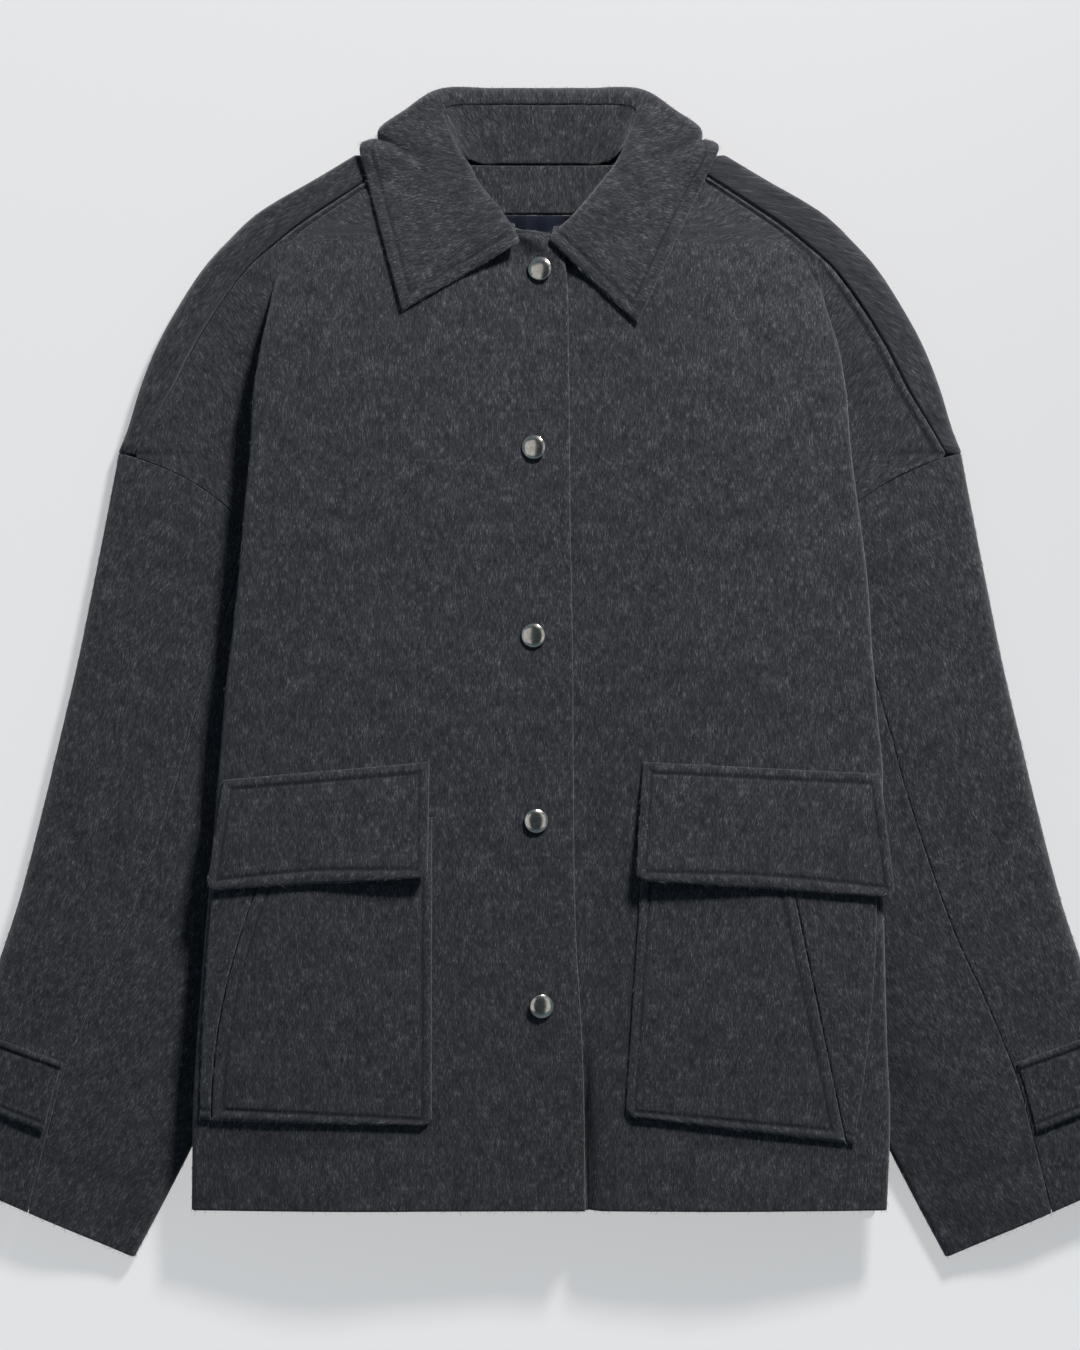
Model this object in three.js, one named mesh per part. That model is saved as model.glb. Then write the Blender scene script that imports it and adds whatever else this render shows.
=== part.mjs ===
// A brushed wool jacket with a snap front, lying on its back, snapped shut, sleeves down its sides.
// Millimetres. +X is the viewer's right, +Y runs from hem to collar, +Z is up from the surface.
// Each panel is a wall of cloth: its centre surface is worked out row by row and then thickened.

import * as THREE from "three";

// Cloth and seams
const WALL = 2.4; // doubled wool cloth, brushed on both faces
const SATIN = 1.2; // the strip of lining inside the back neck
const HALF = WALL / 2;
const FLOOR = HALF; // centre height of a wall that lies on the surface
const SEAM_GAP = 0.5; // between the edges of two pieces that are sewn together
const LAYER = WALL + 0.5; // from one wall's centre to the centre of the wall on top of it

// Front closure
const LAP_LIFT = 3.2; // how far the upper front's centre lies above the lower one's
const LAP_FADE = [34, 78]; // distance from the middle where that lift starts and ends to fade
const CROWN_ROUND = 30; // softens the two crowns of the front into one at the middle

// Pleats in which the body folds over and under the sleeve
const FOLD_RADIUS = 3.4; // rounded edge of the front's side fold
const CREASE_RADIUS = 1.5; // tight inner crease of both pleats
const BACK_FOLD_INSET = 5; // the back's fold lies this far inside the front's
const BACK_FOLD_RADIUS = 1.45;
const SIDE_SEAM = { width: 4.5, above: 10.3, below: 7.4 }; // the two edges turned outwards at the side seam

// Snaps
const SNAP_RADIUS = 8;
const TAB_SNAP_RADIUS = 6;
const SNAP_GAP = 0.45; // below a snap's cap
const SNAP_SIDES = 16;
const SLOPE_STEP = 6; // distance over which the front's slope is measured below a snap
// Radius and height round a cap of SNAP_RADIUS: flat base, rounded rim, shallow step, low dome
const SNAP_PROFILE = [
  [0, 0],
  [7.4, 0],
  [8, 0.6],
  [7.9, 1.3],
  [7.2, 1.9],
  [5.4, 2.4],
  [3, 2.7],
  [0, 2.8],
];

// Height of the front's centre surface: at the middle, at its crown, at the side fold, in the crease
const HEIGHTS = [
  { y: 0, middle: 38, crown: 43, fold: 33, crease: 11.8 },
  { y: 80, middle: 39, crown: 44, fold: 37, crease: 11.8 },
  { y: 190, middle: 40, crown: 45, fold: 39, crease: 11.8 },
  { y: 356, middle: 40, crown: 45, fold: 39, crease: 11.8 },
  { y: 371, middle: 40, crown: 45, fold: 39, crease: 11.9 },
  { y: 453, middle: 40, crown: 44, fold: 38.5, crease: 12.6 },
  { y: 509, middle: 39, crown: 43, fold: 37, crease: 14 },
  { y: 572, middle: 36, crown: 39, fold: 33.5, crease: 15.5 },
  { y: 607, middle: 33, crown: 35, fold: 29.5, crease: 16 },
  { y: 641, middle: 29.5, crown: 29, fold: 23, crease: 16 },
  { y: 668, middle: 25, crown: 24, fold: 18.5, crease: 15 },
  { y: 704, middle: 18, crown: 18, fold: 14, crease: 13 },
];

// How much of the pleat is formed: one where the side folds right over, none near the shoulder
const PLEAT = [
  { y: 545, front: 1 },
  { y: 575, front: 0.92 },
  { y: 607, front: 0.6 },
  { y: 628, front: 0.25 },
  { y: 652, front: 0 },
];
const BACK_PLEAT = [453, 575]; // the back's pleat is whole up to the first, gone above the second
const PLEAT_OPENS = 2.2; // a pleat keeps its height until it has opened by this factor

// Distance of the side fold and of its inner crease from the middle, and the front's inner edge
const RIGHT_EDGE = [
  { y: 0, fold: 230, crease: 200, inner: -25 },
  { y: 60, fold: 232, crease: 200, inner: -25 },
  { y: 107, fold: 230, crease: 194, inner: -25 },
  { y: 140, fold: 229, crease: 181, inner: -25 },
  { y: 180, fold: 228, crease: 169, inner: -25 },
  { y: 225, fold: 227, crease: 161, inner: -25 },
  { y: 287, fold: 227, crease: 156, inner: -25 },
  { y: 335, fold: 223, crease: 153, inner: -25 },
  { y: 356, fold: 221.5, crease: 154, inner: -25 },
  { y: 371, fold: 220, crease: 157, inner: -25 },
  { y: 417, fold: 217, crease: 161, inner: -25 },
  { y: 474, fold: 210, crease: 171, inner: -25 },
  { y: 505, fold: 206, crease: 178, inner: -25 },
  { y: 545, fold: 203, crease: 183, inner: -25 },
  { y: 575, fold: 200, crease: 186, inner: -25 },
  { y: 607, fold: 194, crease: 187, inner: -25 },
  { y: 641, fold: 185, crease: 183, inner: -22 },
];
const LEFT_EDGE = [
  { y: 0, fold: 231, crease: 200, inner: -30 },
  { y: 60, fold: 230, crease: 200, inner: -29.5 },
  { y: 101, fold: 228, crease: 195, inner: -28.5 },
  { y: 140, fold: 225, crease: 181, inner: -26.5 },
  { y: 180, fold: 222, crease: 169, inner: -24 },
  { y: 225, fold: 218, crease: 160, inner: -22.8 },
  { y: 287, fold: 213, crease: 154, inner: -22.3 },
  { y: 335, fold: 209, crease: 152, inner: -22 },
  { y: 356, fold: 207, crease: 153, inner: -22 },
  { y: 371, fold: 205, crease: 156, inner: -21.8 },
  { y: 417, fold: 200, crease: 160, inner: -21 },
  { y: 474, fold: 195, crease: 168, inner: -20 },
  { y: 505, fold: 192, crease: 172, inner: -19.8 },
  { y: 545, fold: 190, crease: 174, inner: -19.4 },
  { y: 575, fold: 187, crease: 175, inner: -19 },
  { y: 607, fold: 185, crease: 176, inner: -18.6 },
  { y: 641, fold: 183, crease: 178, inner: -16 },
];

// The neckline, from the end of the closure up to the neck point
const NECKLINE = [
  { x: -10, y: 650 },
  { x: 34, y: 657 },
  { x: 45, y: 664.5 },
  { x: 54, y: 673 },
  { x: 60, y: 686 },
  { x: 58, y: 704 },
];

// Shoulder seam, which lies forward of the edge, and the shoulder's outer edge beside it
const SHOULDER = [
  { y: 505.9, seam: 271.2, edge: 281.2, height: 13.5 },
  { y: 520, seam: 263, edge: 275.5, height: 13.5 },
  { y: 548, seam: 246, edge: 267, height: 13.5 },
  { y: 577, seam: 231, edge: 255.5, height: 13.8 },
  { y: 606, seam: 212.5, edge: 239.5, height: 14.2 },
  { y: 630, seam: 194, edge: 223.5, height: 14.8 },
  { y: 650, seam: 171, edge: 205, height: 15.2 },
  { y: 657, seam: 162, edge: 198, height: 15.4 },
  { y: 664.5, seam: 151, edge: 189, height: 15.5 },
  { y: 673, seam: 138, edge: 176, height: 15.5 },
  { y: 686, seam: 118, edge: 153, height: 15.2 },
  { y: 704, seam: 90, edge: 123, height: 14.5 },
];

// Sleeve sections from armhole to cuff. inner and outer are the two edges of the flattened tube,
// seam is the share of its width where the front seam lies, bow bends a section towards the neck.
const SLEEVE = [
  { ix: 165, iy: 371, ox: 281, oy: 505, seam: 0.45, top: 14.2, mid: 8.85, edge: 1.5, bow: 31 },
  { ix: 162, iy: 345, ox: 288, oy: 468, seam: 0.46, top: 14.5, mid: 8.9, edge: 1.5, bow: 24 },
  { ix: 163, iy: 310, ox: 299, oy: 412, seam: 0.48, top: 14.8, mid: 9, edge: 1.5, bow: 16 },
  { ix: 166, iy: 270, ox: 309, oy: 363, seam: 0.5, top: 15.4, mid: 9.1, edge: 1.5, bow: 9 },
  { ix: 170, iy: 225, ox: 320, oy: 316, seam: 0.52, top: 16, mid: 9.2, edge: 1.5, bow: 4 },
  { ix: 178, iy: 180, ox: 333, oy: 262, seam: 0.545, top: 17, mid: 9.2, edge: 1.5, bow: 0 },
  { ix: 190, iy: 140, ox: 347, oy: 208, seam: 0.57, top: 18, mid: 9.3, edge: 1.6, bow: 0 },
  { ix: 205, iy: 107, ox: 361, oy: 165, seam: 0.59, top: 19, mid: 9.6, edge: 1.8, bow: 0 },
  { ix: 225, iy: 60, ox: 378, oy: 115, seam: 0.6, top: 19.6, mid: 9.6, edge: 2.4, bow: 0 },
  { ix: 249, iy: 12, ox: 392, oy: 68, seam: 0.57, top: 20, mid: 7.6, edge: 3.4, bow: 0 },
  { ix: 273, iy: -33, ox: 405, oy: 25, seam: 0.523, top: 20.5, mid: 6.4, edge: 4.2, bow: 0 },
];
const SLEEVE_RISE = 62; // width over which the top climbs from the inner edge to its full height
const UNDER_SEAM = 0.75; // share of the width where the back seam lies, on the underside
const UNDER_LIFT = 6.2; // how far the sleeve's underside is raised where the back's fold lies below
const LIFT_SPREAD = [10, 40]; // distance past that fold over which it comes down to the surface
const LIFT_END = [-40, 10]; // stretch of Y near the cuff over which that lift fades in
const SETTLE = [4, 6]; // past its inner edge the underside comes down over 4 edge radii and 6 mm more
const EDGE_STRIP = 7; // width of the first strip of cloth next to the turned inner edge
const UNDERSIDE_SHARES = [0.6, 0.45, 0.3, 0.15]; // shares of the width at which a panel has columns
const INNER_TOP_SHARES = [0.15, 0.3];
const OUTER_TOP_SHARES = [0.6, 0.75, 0.9];

// Armhole
const ARMHOLE_SHARES = [0, 0.15, 0.3, 0.45, 0.6, 0.75, 0.9]; // shares of the sleeve's width met by a row
const ARMHOLE_GAP_SHARE = 0.018; // gap between armhole and sleeve, as a share of the first section's length
const UNDERARM_CLEARANCE = 2.4; // from the sleeve's folded inner edge to the body at the underarm

// Collar sections from the middle of the back to the front end. neck is the seam to the body, roll
// the line it folds on, turn the place where it goes round the shoulder's edge, leaf the outer edge.
const COLLAR_BACK = [
  { nx: 0, ny: 699.2, nz: 7.2, rx: 0, ry: 738, rz: 12, tx: 0, ty: 749, lx: 0, ly: 677 },
  { nx: 25, ny: 699.2, nz: 7.2, rx: 30, ry: 738, rz: 12.4, tx: 31, ty: 749, lx: 36, ly: 679 },
  { nx: 41, ny: 699.6, nz: 7.6, rx: 63, ry: 735, rz: 15, tx: 69, ty: 743.5, lx: 74, ly: 690 },
  { nx: 50, ny: 703, nz: 10, rx: 61.5, ry: 725, rz: 20, tx: 86, ty: 732, lx: 98, ly: 701 },
  { nx: 55.2, ny: 705.6, nz: 16, rx: 57.3, ry: 712, rz: 24.5, tx: 104, ty: 720, lx: 110, ly: 708.6 },
];
const COLLAR_RIGHT = [
  { nx: 57, ny: 686.6, nz: 20.5, rx: 52, ry: 699, rz: 28.5, lx: 119.6, ly: 708.5 },
  { nx: 53, ny: 674, nz: 23.5, rx: 44, ry: 688, rz: 31.5, lx: 108.6, ly: 684.5 },
  { nx: 44, ny: 665.7, nz: 25.5, rx: 35.3, ry: 677, rz: 34, lx: 97.6, ly: 661 },
  { nx: 33, ny: 658.4, nz: 27, rx: 24.7, ry: 664.5, rz: 36, lx: 86.7, ly: 637.4 },
  { nx: 20, ny: 656.9, nz: 28.4, rx: 13.5, ry: 653.5, rz: 37.5, lx: 75.7, ly: 613.9 },
  { nx: 9, ny: 655.2, nz: 29, rx: 6, ry: 646, rz: 38.5, lx: 64.7, ly: 590.3 },
];
const COLLAR_LEFT = [
  { nx: 57, ny: 686.6, nz: 20.5, rx: 48, ry: 697, rz: 28.5, lx: 120.7, ly: 708.5 },
  { nx: 53, ny: 674, nz: 23.5, rx: 42.5, ry: 686, rz: 31.5, lx: 115, ly: 685.3 },
  { nx: 44, ny: 665.7, nz: 26.5, rx: 36, ry: 677, rz: 34.5, lx: 109.2, ly: 663.7 },
  { nx: 34, ny: 658.6, nz: 29.5, rx: 27.5, ry: 667, rz: 37.5, lx: 103.5, ly: 642 },
  { nx: 23.5, ny: 658.2, nz: 31.2, rx: 19.6, ry: 655, rz: 40, lx: 97.7, ly: 620.4 },
  { nx: 17, ny: 657.2, nz: 31.8, rx: 14, ry: 643.5, rz: 41.5, lx: 92, ly: 598.7 },
];
const ROLL_RADIUS = 3.2;
const ROLL_START = 2.5; // flat strip of the collar before it starts to roll
const COLLAR_TURN_TOP = 14.8; // height at which the leaf goes round the shoulder's edge
const COLLAR_TURN_DROP = 0.4; // and how far below the roll it does so at least
const COLLAR_TURN_ANGLES = [135, 180, 225, 270];
const STAND_GAP = 2.8; // the stand ends this far below the collar, which bends away from it
const LEAF_STEPS = 8;
const LEAF_SETTLE = 0.5; // share of the leaf over which it comes down from the roll to the front
const COLLAR_GAP = 3.6; // from the front's centre to the leaf's
const BACK_NECK_RISE = [650, 667]; // the back lies on the collar's leaf above this stretch
const BACK_NECK_LIFT = 3.2;
const NECK_EDGE_Y = 698.3; // the back's edge at the neck
const NECK_EDGE_FADE = [46, 58]; // distance from the middle over which that edge gives way to the shoulder

// The inside of the back neck: a wool facing below the stand, and the top of a satin lining under it
const NECK_FACING = { half: 46, top: 698, bottom: 665.8, lift: LAYER, thickness: WALL };
const NECK_LINING = { half: 70, top: 665.2, bottom: 600, lift: 2.2, thickness: SATIN };
const NECK_STEPS = 4;

// Largest soft folds of the front: a line, its depth (down is negative) and its half width
const SOFT_FOLDS = [
  { x0: 34, y0: 345, x1: 37, y1: 60, depth: -2.6, width: 11 },
  { x0: 30, y0: 110, x1: 33, y1: -40, depth: -2.2, width: 9 },
  { x0: -70, y0: 610, x1: -110, y1: 470, depth: 1.6, width: 24 },
  { x0: 120, y0: 600, x1: 150, y1: 460, depth: 1.4, width: 26 },
  { x0: -130, y0: 40, x1: -120, y1: -40, depth: 1.8, width: 40 },
  { x0: 125, y0: 40, x1: 135, y1: -40, depth: 1.6, width: 38 },
];

// Pockets: corners of the patch, the flap and the side strip beyond the slanted hand opening
const POCKET_RIGHT = {
  flap: { tl: [68.5, 299], tr: [226, 291], bl: [63.5, 221], br: [236, 209] },
  patch: { tl: [70, 262], tr: [158, 262], bl: [56.7, 64], br: [203, 46] },
  side: { tl: [159, 262], tr: [223, 262], bl: [204, 45.8], br: [208.5, 45], bulge: 6 },
};
const POCKET_LEFT = {
  flap: { tl: [73.3, 299], tr: [210, 287], bl: [74.5, 222.5], br: [221.5, 214] },
  patch: { tl: [71.7, 262], tr: [171, 262], bl: [72, 57.5], br: [218, 60.5] },
  side: { tl: [172, 262], tr: [212, 262], bl: [219, 61], br: [223, 61.5], bulge: 2 },
};
const FLAP_LIFT = [LAYER, 2 * LAYER + 0.4, 2 * LAYER + 3]; // at its seam, over the patch, at its free edge
const FLAP_FOLD_SHARE = 0.3; // share of the flap's length over which it climbs onto the patch
const FLAP_FREE_SHARE = 0.4; // share of its length from which it rises towards its free edge
const PATCH_LIFT = LAYER;
const SIDE_OVERHANG = 0.02; // how fast a flap bends down past the side fold, per millimetre
const POCKET_GRID = { patch: [6, 7], side: [3, 7], flap: [8, 6] }; // columns and rows of each piece

// Cuff tabs, caught in the sleeve's front seam: between two sleeve sections, starting just past the
// seam (a share of the sleeve's width), with the distance from the seam to the snap's centre
const TAB = { from: 7.92, to: 8.86, start: 0.02, length: 58, snapFrom: 53 };
const TAB_SHARES = [0, 0.2, 0.4, 0.6, 0.75, 0.88, 1]; // of its length, for its columns
const TAB_ROWS = 4;
const TAB_OUTERMOST = 0.985; // share of the sleeve's width at which a tab stops
const TAB_LIFT = LAYER + 0.2; // from the sleeve's centre to the tab's
const TAB_SNAP_GAP = 0.35;

// Snap centres up the closure, on the upper front
const SNAPS = [
  { x: 0.4, y: 627 },
  { x: -3.7, y: 508 },
  { x: -4.3, y: 383 },
  { x: -2.7, y: 259.7 },
  { x: 0.7, y: 136.8 },
];

// Columns across each part of a row
const FRONT_STEPS = [0, 0.07, 0.14, 0.23, 0.35, 0.5, 0.65, 0.8, 0.92, 1];
const BACK_STEPS = 3;
const FOLD_STEPS = 3;
const BACK_FOLD_STEPS = 2;
const UNDER_STEPS = 3;
const CREASE_STEPS = 2;
const ARM_STEPS = 3;
const ARM_SETTLE = 1.6; // how fast the back comes down from its pleat under the shoulder
const SHOULDER_TURN_STEPS = 3;
const SHOULDER_TOP_STEPS = 2;

const ROWS_BELOW_UNDERARM = [0, 60, 125, 185, 245, 305, 356];

const COLOURS = { wool: 0x34373c, satin: 0x0e1016, metal: 0xc9c7c2 };

const lerp = THREE.MathUtils.lerp;
const clamp01 = (t) => Math.min(1, Math.max(0, t));
const smooth = (t) => clamp01(t) ** 2 * (3 - 2 * clamp01(t));
const ramp = (from, to, v) => smooth((v - from) / (to - from));

// Value of one column of a table at y, joined by smooth curves that never overshoot their rows.
function column(table, key, y) {
  const last = table.length - 1;
  if (y <= table[0].y) return table[0][key];
  if (y >= table[last].y) return table[last][key];
  const i = table.findIndex((row, k) => k < last && y <= table[k + 1].y);
  const slopeOf = (k) => (table[k + 1][key] - table[k][key]) / (table[k + 1].y - table[k].y);
  const tangentAt = (k) => {
    if (k === 0) return slopeOf(0);
    if (k === last) return slopeOf(last - 1);
    const before = slopeOf(k - 1);
    const after = slopeOf(k);
    return before * after <= 0 ? 0 : (2 * before * after) / (before + after);
  };
  const span = table[i + 1].y - table[i].y;
  const t = (y - table[i].y) / span;
  const h = t * t * (3 - 2 * t);
  return (
    table[i][key] * (1 - h) +
    table[i + 1][key] * h +
    span * (t * (1 - t) ** 2 * tangentAt(i) - t * t * (1 - t) * tangentAt(i + 1))
  );
}

// The two sides of the jacket. Points are worked out with x pointing outwards, then given its sign.
const SIDES = {
  right: { sign: 1, edge: RIGHT_EDGE, collar: COLLAR_RIGHT, pocket: POCKET_RIGHT, lap: -0.5 },
  left: { sign: -1, edge: LEFT_EDGE, collar: COLLAR_LEFT, pocket: POCKET_LEFT, lap: 0.5 },
};

const pleatAt = (y) => column(PLEAT, "front", y);
const backPleatAt = (y) => 1 - ramp(...BACK_PLEAT, y);
const foldAt = (side, y) => column(side.edge, "fold", y);
const creaseAt = (side, y) => column(side.edge, "crease", y);
const backFoldAt = (side, y) => foldAt(side, y) - BACK_FOLD_INSET;
const shoulderAt = (key, y) => column(SHOULDER, key, y);
const backFloorAt = (y) => FLOOR + BACK_NECK_LIFT * ramp(...BACK_NECK_RISE, y);

// Outer limit of the part of the front that lies on top: the fold, or the shoulder where none is.
function topLimit(side, y) {
  const pleat = pleatAt(y);
  return lerp(shoulderAt("seam", y), foldAt(side, y) - FOLD_RADIUS, pleat);
}

// Height that the soft folds add at a place on the front.
function softFolds(x, y) {
  return SOFT_FOLDS.reduce((sum, fold) => {
    const dx = fold.x1 - fold.x0;
    const dy = fold.y1 - fold.y0;
    const along = ((x - fold.x0) * dx + (y - fold.y0) * dy) / (dx * dx + dy * dy);
    const across = Math.abs((x - fold.x0) * dy - (y - fold.y0) * dx) / Math.hypot(dx, dy);
    const fade = clamp01(4 * along * (1 - along));
    return sum + fold.depth * fade * Math.exp(-((across / fold.width) ** 2));
  }, 0);
}

// Centre height of the front's upper surface at x (outwards) and y.
function frontHeight(side, x, y) {
  const limit = topLimit(side, y);
  const rounded = Math.hypot(x, CROWN_ROUND) - CROWN_ROUND;
  const u = clamp01(rounded / (limit - CROWN_ROUND));
  const middle = column(HEIGHTS, "middle", y);
  const crown = column(HEIGHTS, "crown", y);
  const outer = lerp(shoulderAt("height", y), column(HEIGHTS, "fold", y), pleatAt(y));
  const shape = (middle * (1 - u) - outer * u) * (1 - 2 * u) + crown * 4 * u * (1 - u);
  const lap = side.lap * LAP_LIFT * (1 - ramp(...LAP_FADE, Math.abs(x)));
  const past = Math.max(0, x - limit);
  return shape + lap + softFolds(side.sign * x, y) - SIDE_OVERHANG * past * past;
}

// Height of the front under the collar, which doesn't bend down past the shoulder.
const collarGround = (side, x, y) => frontHeight(side, Math.min(x, topLimit(side, y)), y);

// Position and height of the sleeve's centre surface. s is the section number, u the share of its
// width from the inner edge, over is 1 on the top and -1 on the underside.
function sleeveSection(s) {
  const i = Math.min(Math.floor(s), SLEEVE.length - 2);
  const t = s - i;
  const section = {};
  for (const key of Object.keys(SLEEVE[0])) {
    section[key] = lerp(SLEEVE[i][key], SLEEVE[i + 1][key], t);
  }
  return section;
}

function sleevePlan(section, u) {
  const width = Math.hypot(section.ox - section.ix, section.oy - section.iy);
  const bow = section.bow * 4 * u * (1 - u);
  return {
    x: lerp(section.ix, section.ox, u) - (bow * (section.oy - section.iy)) / width,
    y: lerp(section.iy, section.oy, u) + (bow * (section.ox - section.ix)) / width,
    width,
  };
}

function sleevePoint(side, s, u, over) {
  const section = sleeveSection(s);
  const armhole = 1 - clamp01(s);
  const plan = armhole > 0 ? armholeBlend(section, u, armhole) : sleevePlan(section, u);
  const fromInner = u * plan.width;
  const fromOuter = (1 - u) * plan.width;
  const rise = smooth((fromInner - section.edge) / SLEEVE_RISE);
  const innerTurn = Math.sqrt(1 - clamp01(1 - fromInner / section.edge) ** 2);
  const lifted = 1 - ramp(...LIFT_SPREAD, plan.x - backFoldAt(side, plan.y));
  const ground = FLOOR + UNDER_LIFT * lifted * ramp(...LIFT_END, plan.y);
  const settle = smooth((fromInner - section.edge) / (SETTLE[0] * section.edge + SETTLE[1]));
  const above = lerp(section.mid + section.edge, section.top, rise);
  const below = lerp(section.mid - section.edge, ground, settle);
  const radius = (section.top - FLOOR) / 2;
  const outerTurn = Math.sqrt(1 - clamp01(1 - fromOuter / radius) ** 2);
  const centre = lerp(section.mid, (above + below) / 2, clamp01(fromInner / section.edge));
  const half = ((above - below) / 2) * innerTurn * outerTurn;
  return new THREE.Vector3(side.sign * plan.x, plan.y, centre + over * half);
}

// Near the armhole a section follows the straight stretches between the points that it shares with
// the front and the back, so that the edges of the three stay the same distance apart.
function armholeBlend(section, u, share) {
  const curved = sleevePlan(section, u);
  const stops = [...ARMHOLE_SHARES, 1];
  const i = Math.max(0, stops.findIndex((stop) => stop >= u) - 1);
  const t = (u - stops[i]) / (stops[i + 1] - stops[i]);
  const from = sleevePlan(section, stops[i]);
  const to = sleevePlan(section, stops[i + 1]);
  return {
    x: lerp(curved.x, lerp(from.x, to.x, t), share),
    y: lerp(curved.y, lerp(from.y, to.y, t), share),
    width: curved.width,
  };
}

// Where the armhole crosses each row of the front and back, with its height on top and underneath.
function armholeRows(side) {
  const { width } = sleevePlan(SLEEVE[0], 0.5);
  const edge = SLEEVE[0].edge / width;
  return ARMHOLE_SHARES.map((u) => {
    const place = sleevePoint(side, 0, u, 1);
    const above = sleevePoint(side, 0, Math.max(u, edge), 1).z;
    const below = sleevePoint(side, 0, Math.max(u, edge), -1).z;
    const x = Math.abs(place.x) - (u === 0 ? UNDERARM_CLEARANCE : 0);
    return { y: place.y, x, above, below };
  });
}

// Rows of a body panel: its height up the body, where its arm part ends, and how high it ends.
function bodyRows(side) {
  const { width, ...heights } = SIDE_SEAM;
  const below = ROWS_BELOW_UNDERARM.map((y) => ({ y, x: creaseAt(side, y) + width, ...heights }));
  const armhole = armholeRows(side);
  const shoulder = SHOULDER.map((row) => ({
    y: row.y,
    x: row.seam,
    above: row.height,
    edge: row.edge,
  }));
  return [...below, ...armhole, ...shoulder];
}

// Spreads the points of a folded row along a smooth one, for the rows in which the pleat fades.
function unfold(points, flat, pleat, heightPleat) {
  if (pleat >= 1) return points;
  const lengths = [0];
  for (let i = 1; i < points.length; i++) {
    lengths.push(lengths[i - 1] + points[i].distanceTo(points[i - 1]));
  }
  const total = lengths[points.length - 1];
  return points.map((point, i) => {
    const target = flat(lengths[i] / total);
    return new THREE.Vector3(
      lerp(target.x, point.x, pleat),
      point.y,
      lerp(target.z, point.z, heightPleat),
    );
  });
}

// Points round an arc in the plane of a row, from one angle to another in degrees.
function arc(points, y, cx, cz, radius, from, to, steps) {
  for (let k = 1; k <= steps; k++) {
    const angle = THREE.MathUtils.degToRad(lerp(from, to, k / steps));
    points.push(new THREE.Vector3(cx + radius * Math.cos(angle), y, cz + radius * Math.sin(angle)));
  }
}

// Points along a straight or bent stretch of a row.
function stretch(points, y, from, to, steps, bend = (t) => t) {
  for (let k = 1; k <= steps; k++) {
    const t = k / steps;
    points.push(new THREE.Vector3(lerp(from.x, to.x, t), y, lerp(from.z, to.z, bend(t))));
  }
}

function innerEdgeOf(side, y) {
  if (y <= NECKLINE[0].y) return column(side.edge, "inner", y);
  return column(NECKLINE, "x", y);
}

// One row of a front: out over the top, round the side fold, back in to the crease and out again
// as far as the side seam, the armhole or the shoulder seam.
function frontRow(side, row) {
  const { y } = row;
  const limit = foldAt(side, y) - FOLD_RADIUS;
  const creaseX = creaseAt(side, y) + CREASE_RADIUS;
  const creaseHeight = column(HEIGHTS, "crease", y);
  const foldTop = frontHeight(side, limit, y);
  const inner = innerEdgeOf(side, y);
  const points = FRONT_STEPS.map((t) => {
    const x = lerp(inner, limit, t);
    return new THREE.Vector3(x, y, frontHeight(side, x, y));
  });
  arc(points, y, limit, foldTop - FOLD_RADIUS, FOLD_RADIUS, 90, -90, FOLD_STEPS);
  const underStart = { x: limit, z: foldTop - 2 * FOLD_RADIUS };
  stretch(points, y, underStart, { x: creaseX, z: creaseHeight + CREASE_RADIUS }, UNDER_STEPS, (t) => t * t);
  arc(points, y, creaseX, creaseHeight, CREASE_RADIUS, 90, 270, CREASE_STEPS);
  const armEnd = { x: row.x - SEAM_GAP / 2, z: row.above };
  stretch(points, y, { x: creaseX, z: creaseHeight - CREASE_RADIUS }, armEnd, ARM_STEPS);
  const flat = (t) => {
    const x = lerp(inner, armEnd.x, t);
    return { x, z: frontHeight(side, x, y) };
  };
  return unfold(points, flat, pleatAt(y), pleatAt(y));
}

// One side of a row of the back: out over the surface, round its fold, in to the crease, out again
// under the arm and, above the armhole, round the shoulder's edge to the shoulder seam.
function backRow(side, row) {
  const { y } = row;
  const floor = backFloorAt(y);
  const fold = backFoldAt(side, y) - BACK_FOLD_RADIUS;
  const creaseX = creaseAt(side, y) + CREASE_RADIUS;
  const overHeight = floor + 2 * BACK_FOLD_RADIUS;
  const points = [new THREE.Vector3(0, y, floor)];
  stretch(points, y, { x: 0, z: floor }, { x: fold, z: floor }, BACK_STEPS);
  arc(points, y, fold, floor + BACK_FOLD_RADIUS, BACK_FOLD_RADIUS, -90, 90, BACK_FOLD_STEPS);
  stretch(points, y, { x: fold, z: overHeight }, { x: creaseX, z: overHeight }, UNDER_STEPS);
  arc(points, y, creaseX, overHeight + CREASE_RADIUS, CREASE_RADIUS, -90, -270, CREASE_STEPS);
  const armStart = { x: creaseX, z: overHeight + 2 * CREASE_RADIUS };
  const pleat = backPleatAt(y);
  const height = clamp01(PLEAT_OPENS * pleat);
  if (row.edge === undefined) {
    const armEnd = { x: row.x - SEAM_GAP / 2, z: row.below };
    const steps = ARM_STEPS + SHOULDER_TURN_STEPS + SHOULDER_TOP_STEPS;
    stretch(points, y, armStart, armEnd, steps, smooth);
    return unfold(points, (t) => ({ x: t * armEnd.x, z: floor }), pleat, height).slice(1);
  }
  const radius = (row.above - floor) / 2;
  const turn = row.edge - radius;
  stretch(points, y, armStart, { x: turn, z: floor }, ARM_STEPS, (t) => smooth(ARM_SETTLE * t));
  const opened = unfold(points, (t) => ({ x: t * turn, z: floor }), pleat, height).slice(1);
  arc(opened, y, turn, floor + radius, radius, -90, 90, SHOULDER_TURN_STEPS);
  const seam = { x: row.x + SEAM_GAP / 2, z: row.above };
  stretch(opened, y, { x: turn, z: row.above }, seam, SHOULDER_TOP_STEPS);
  return opened;
}

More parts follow.
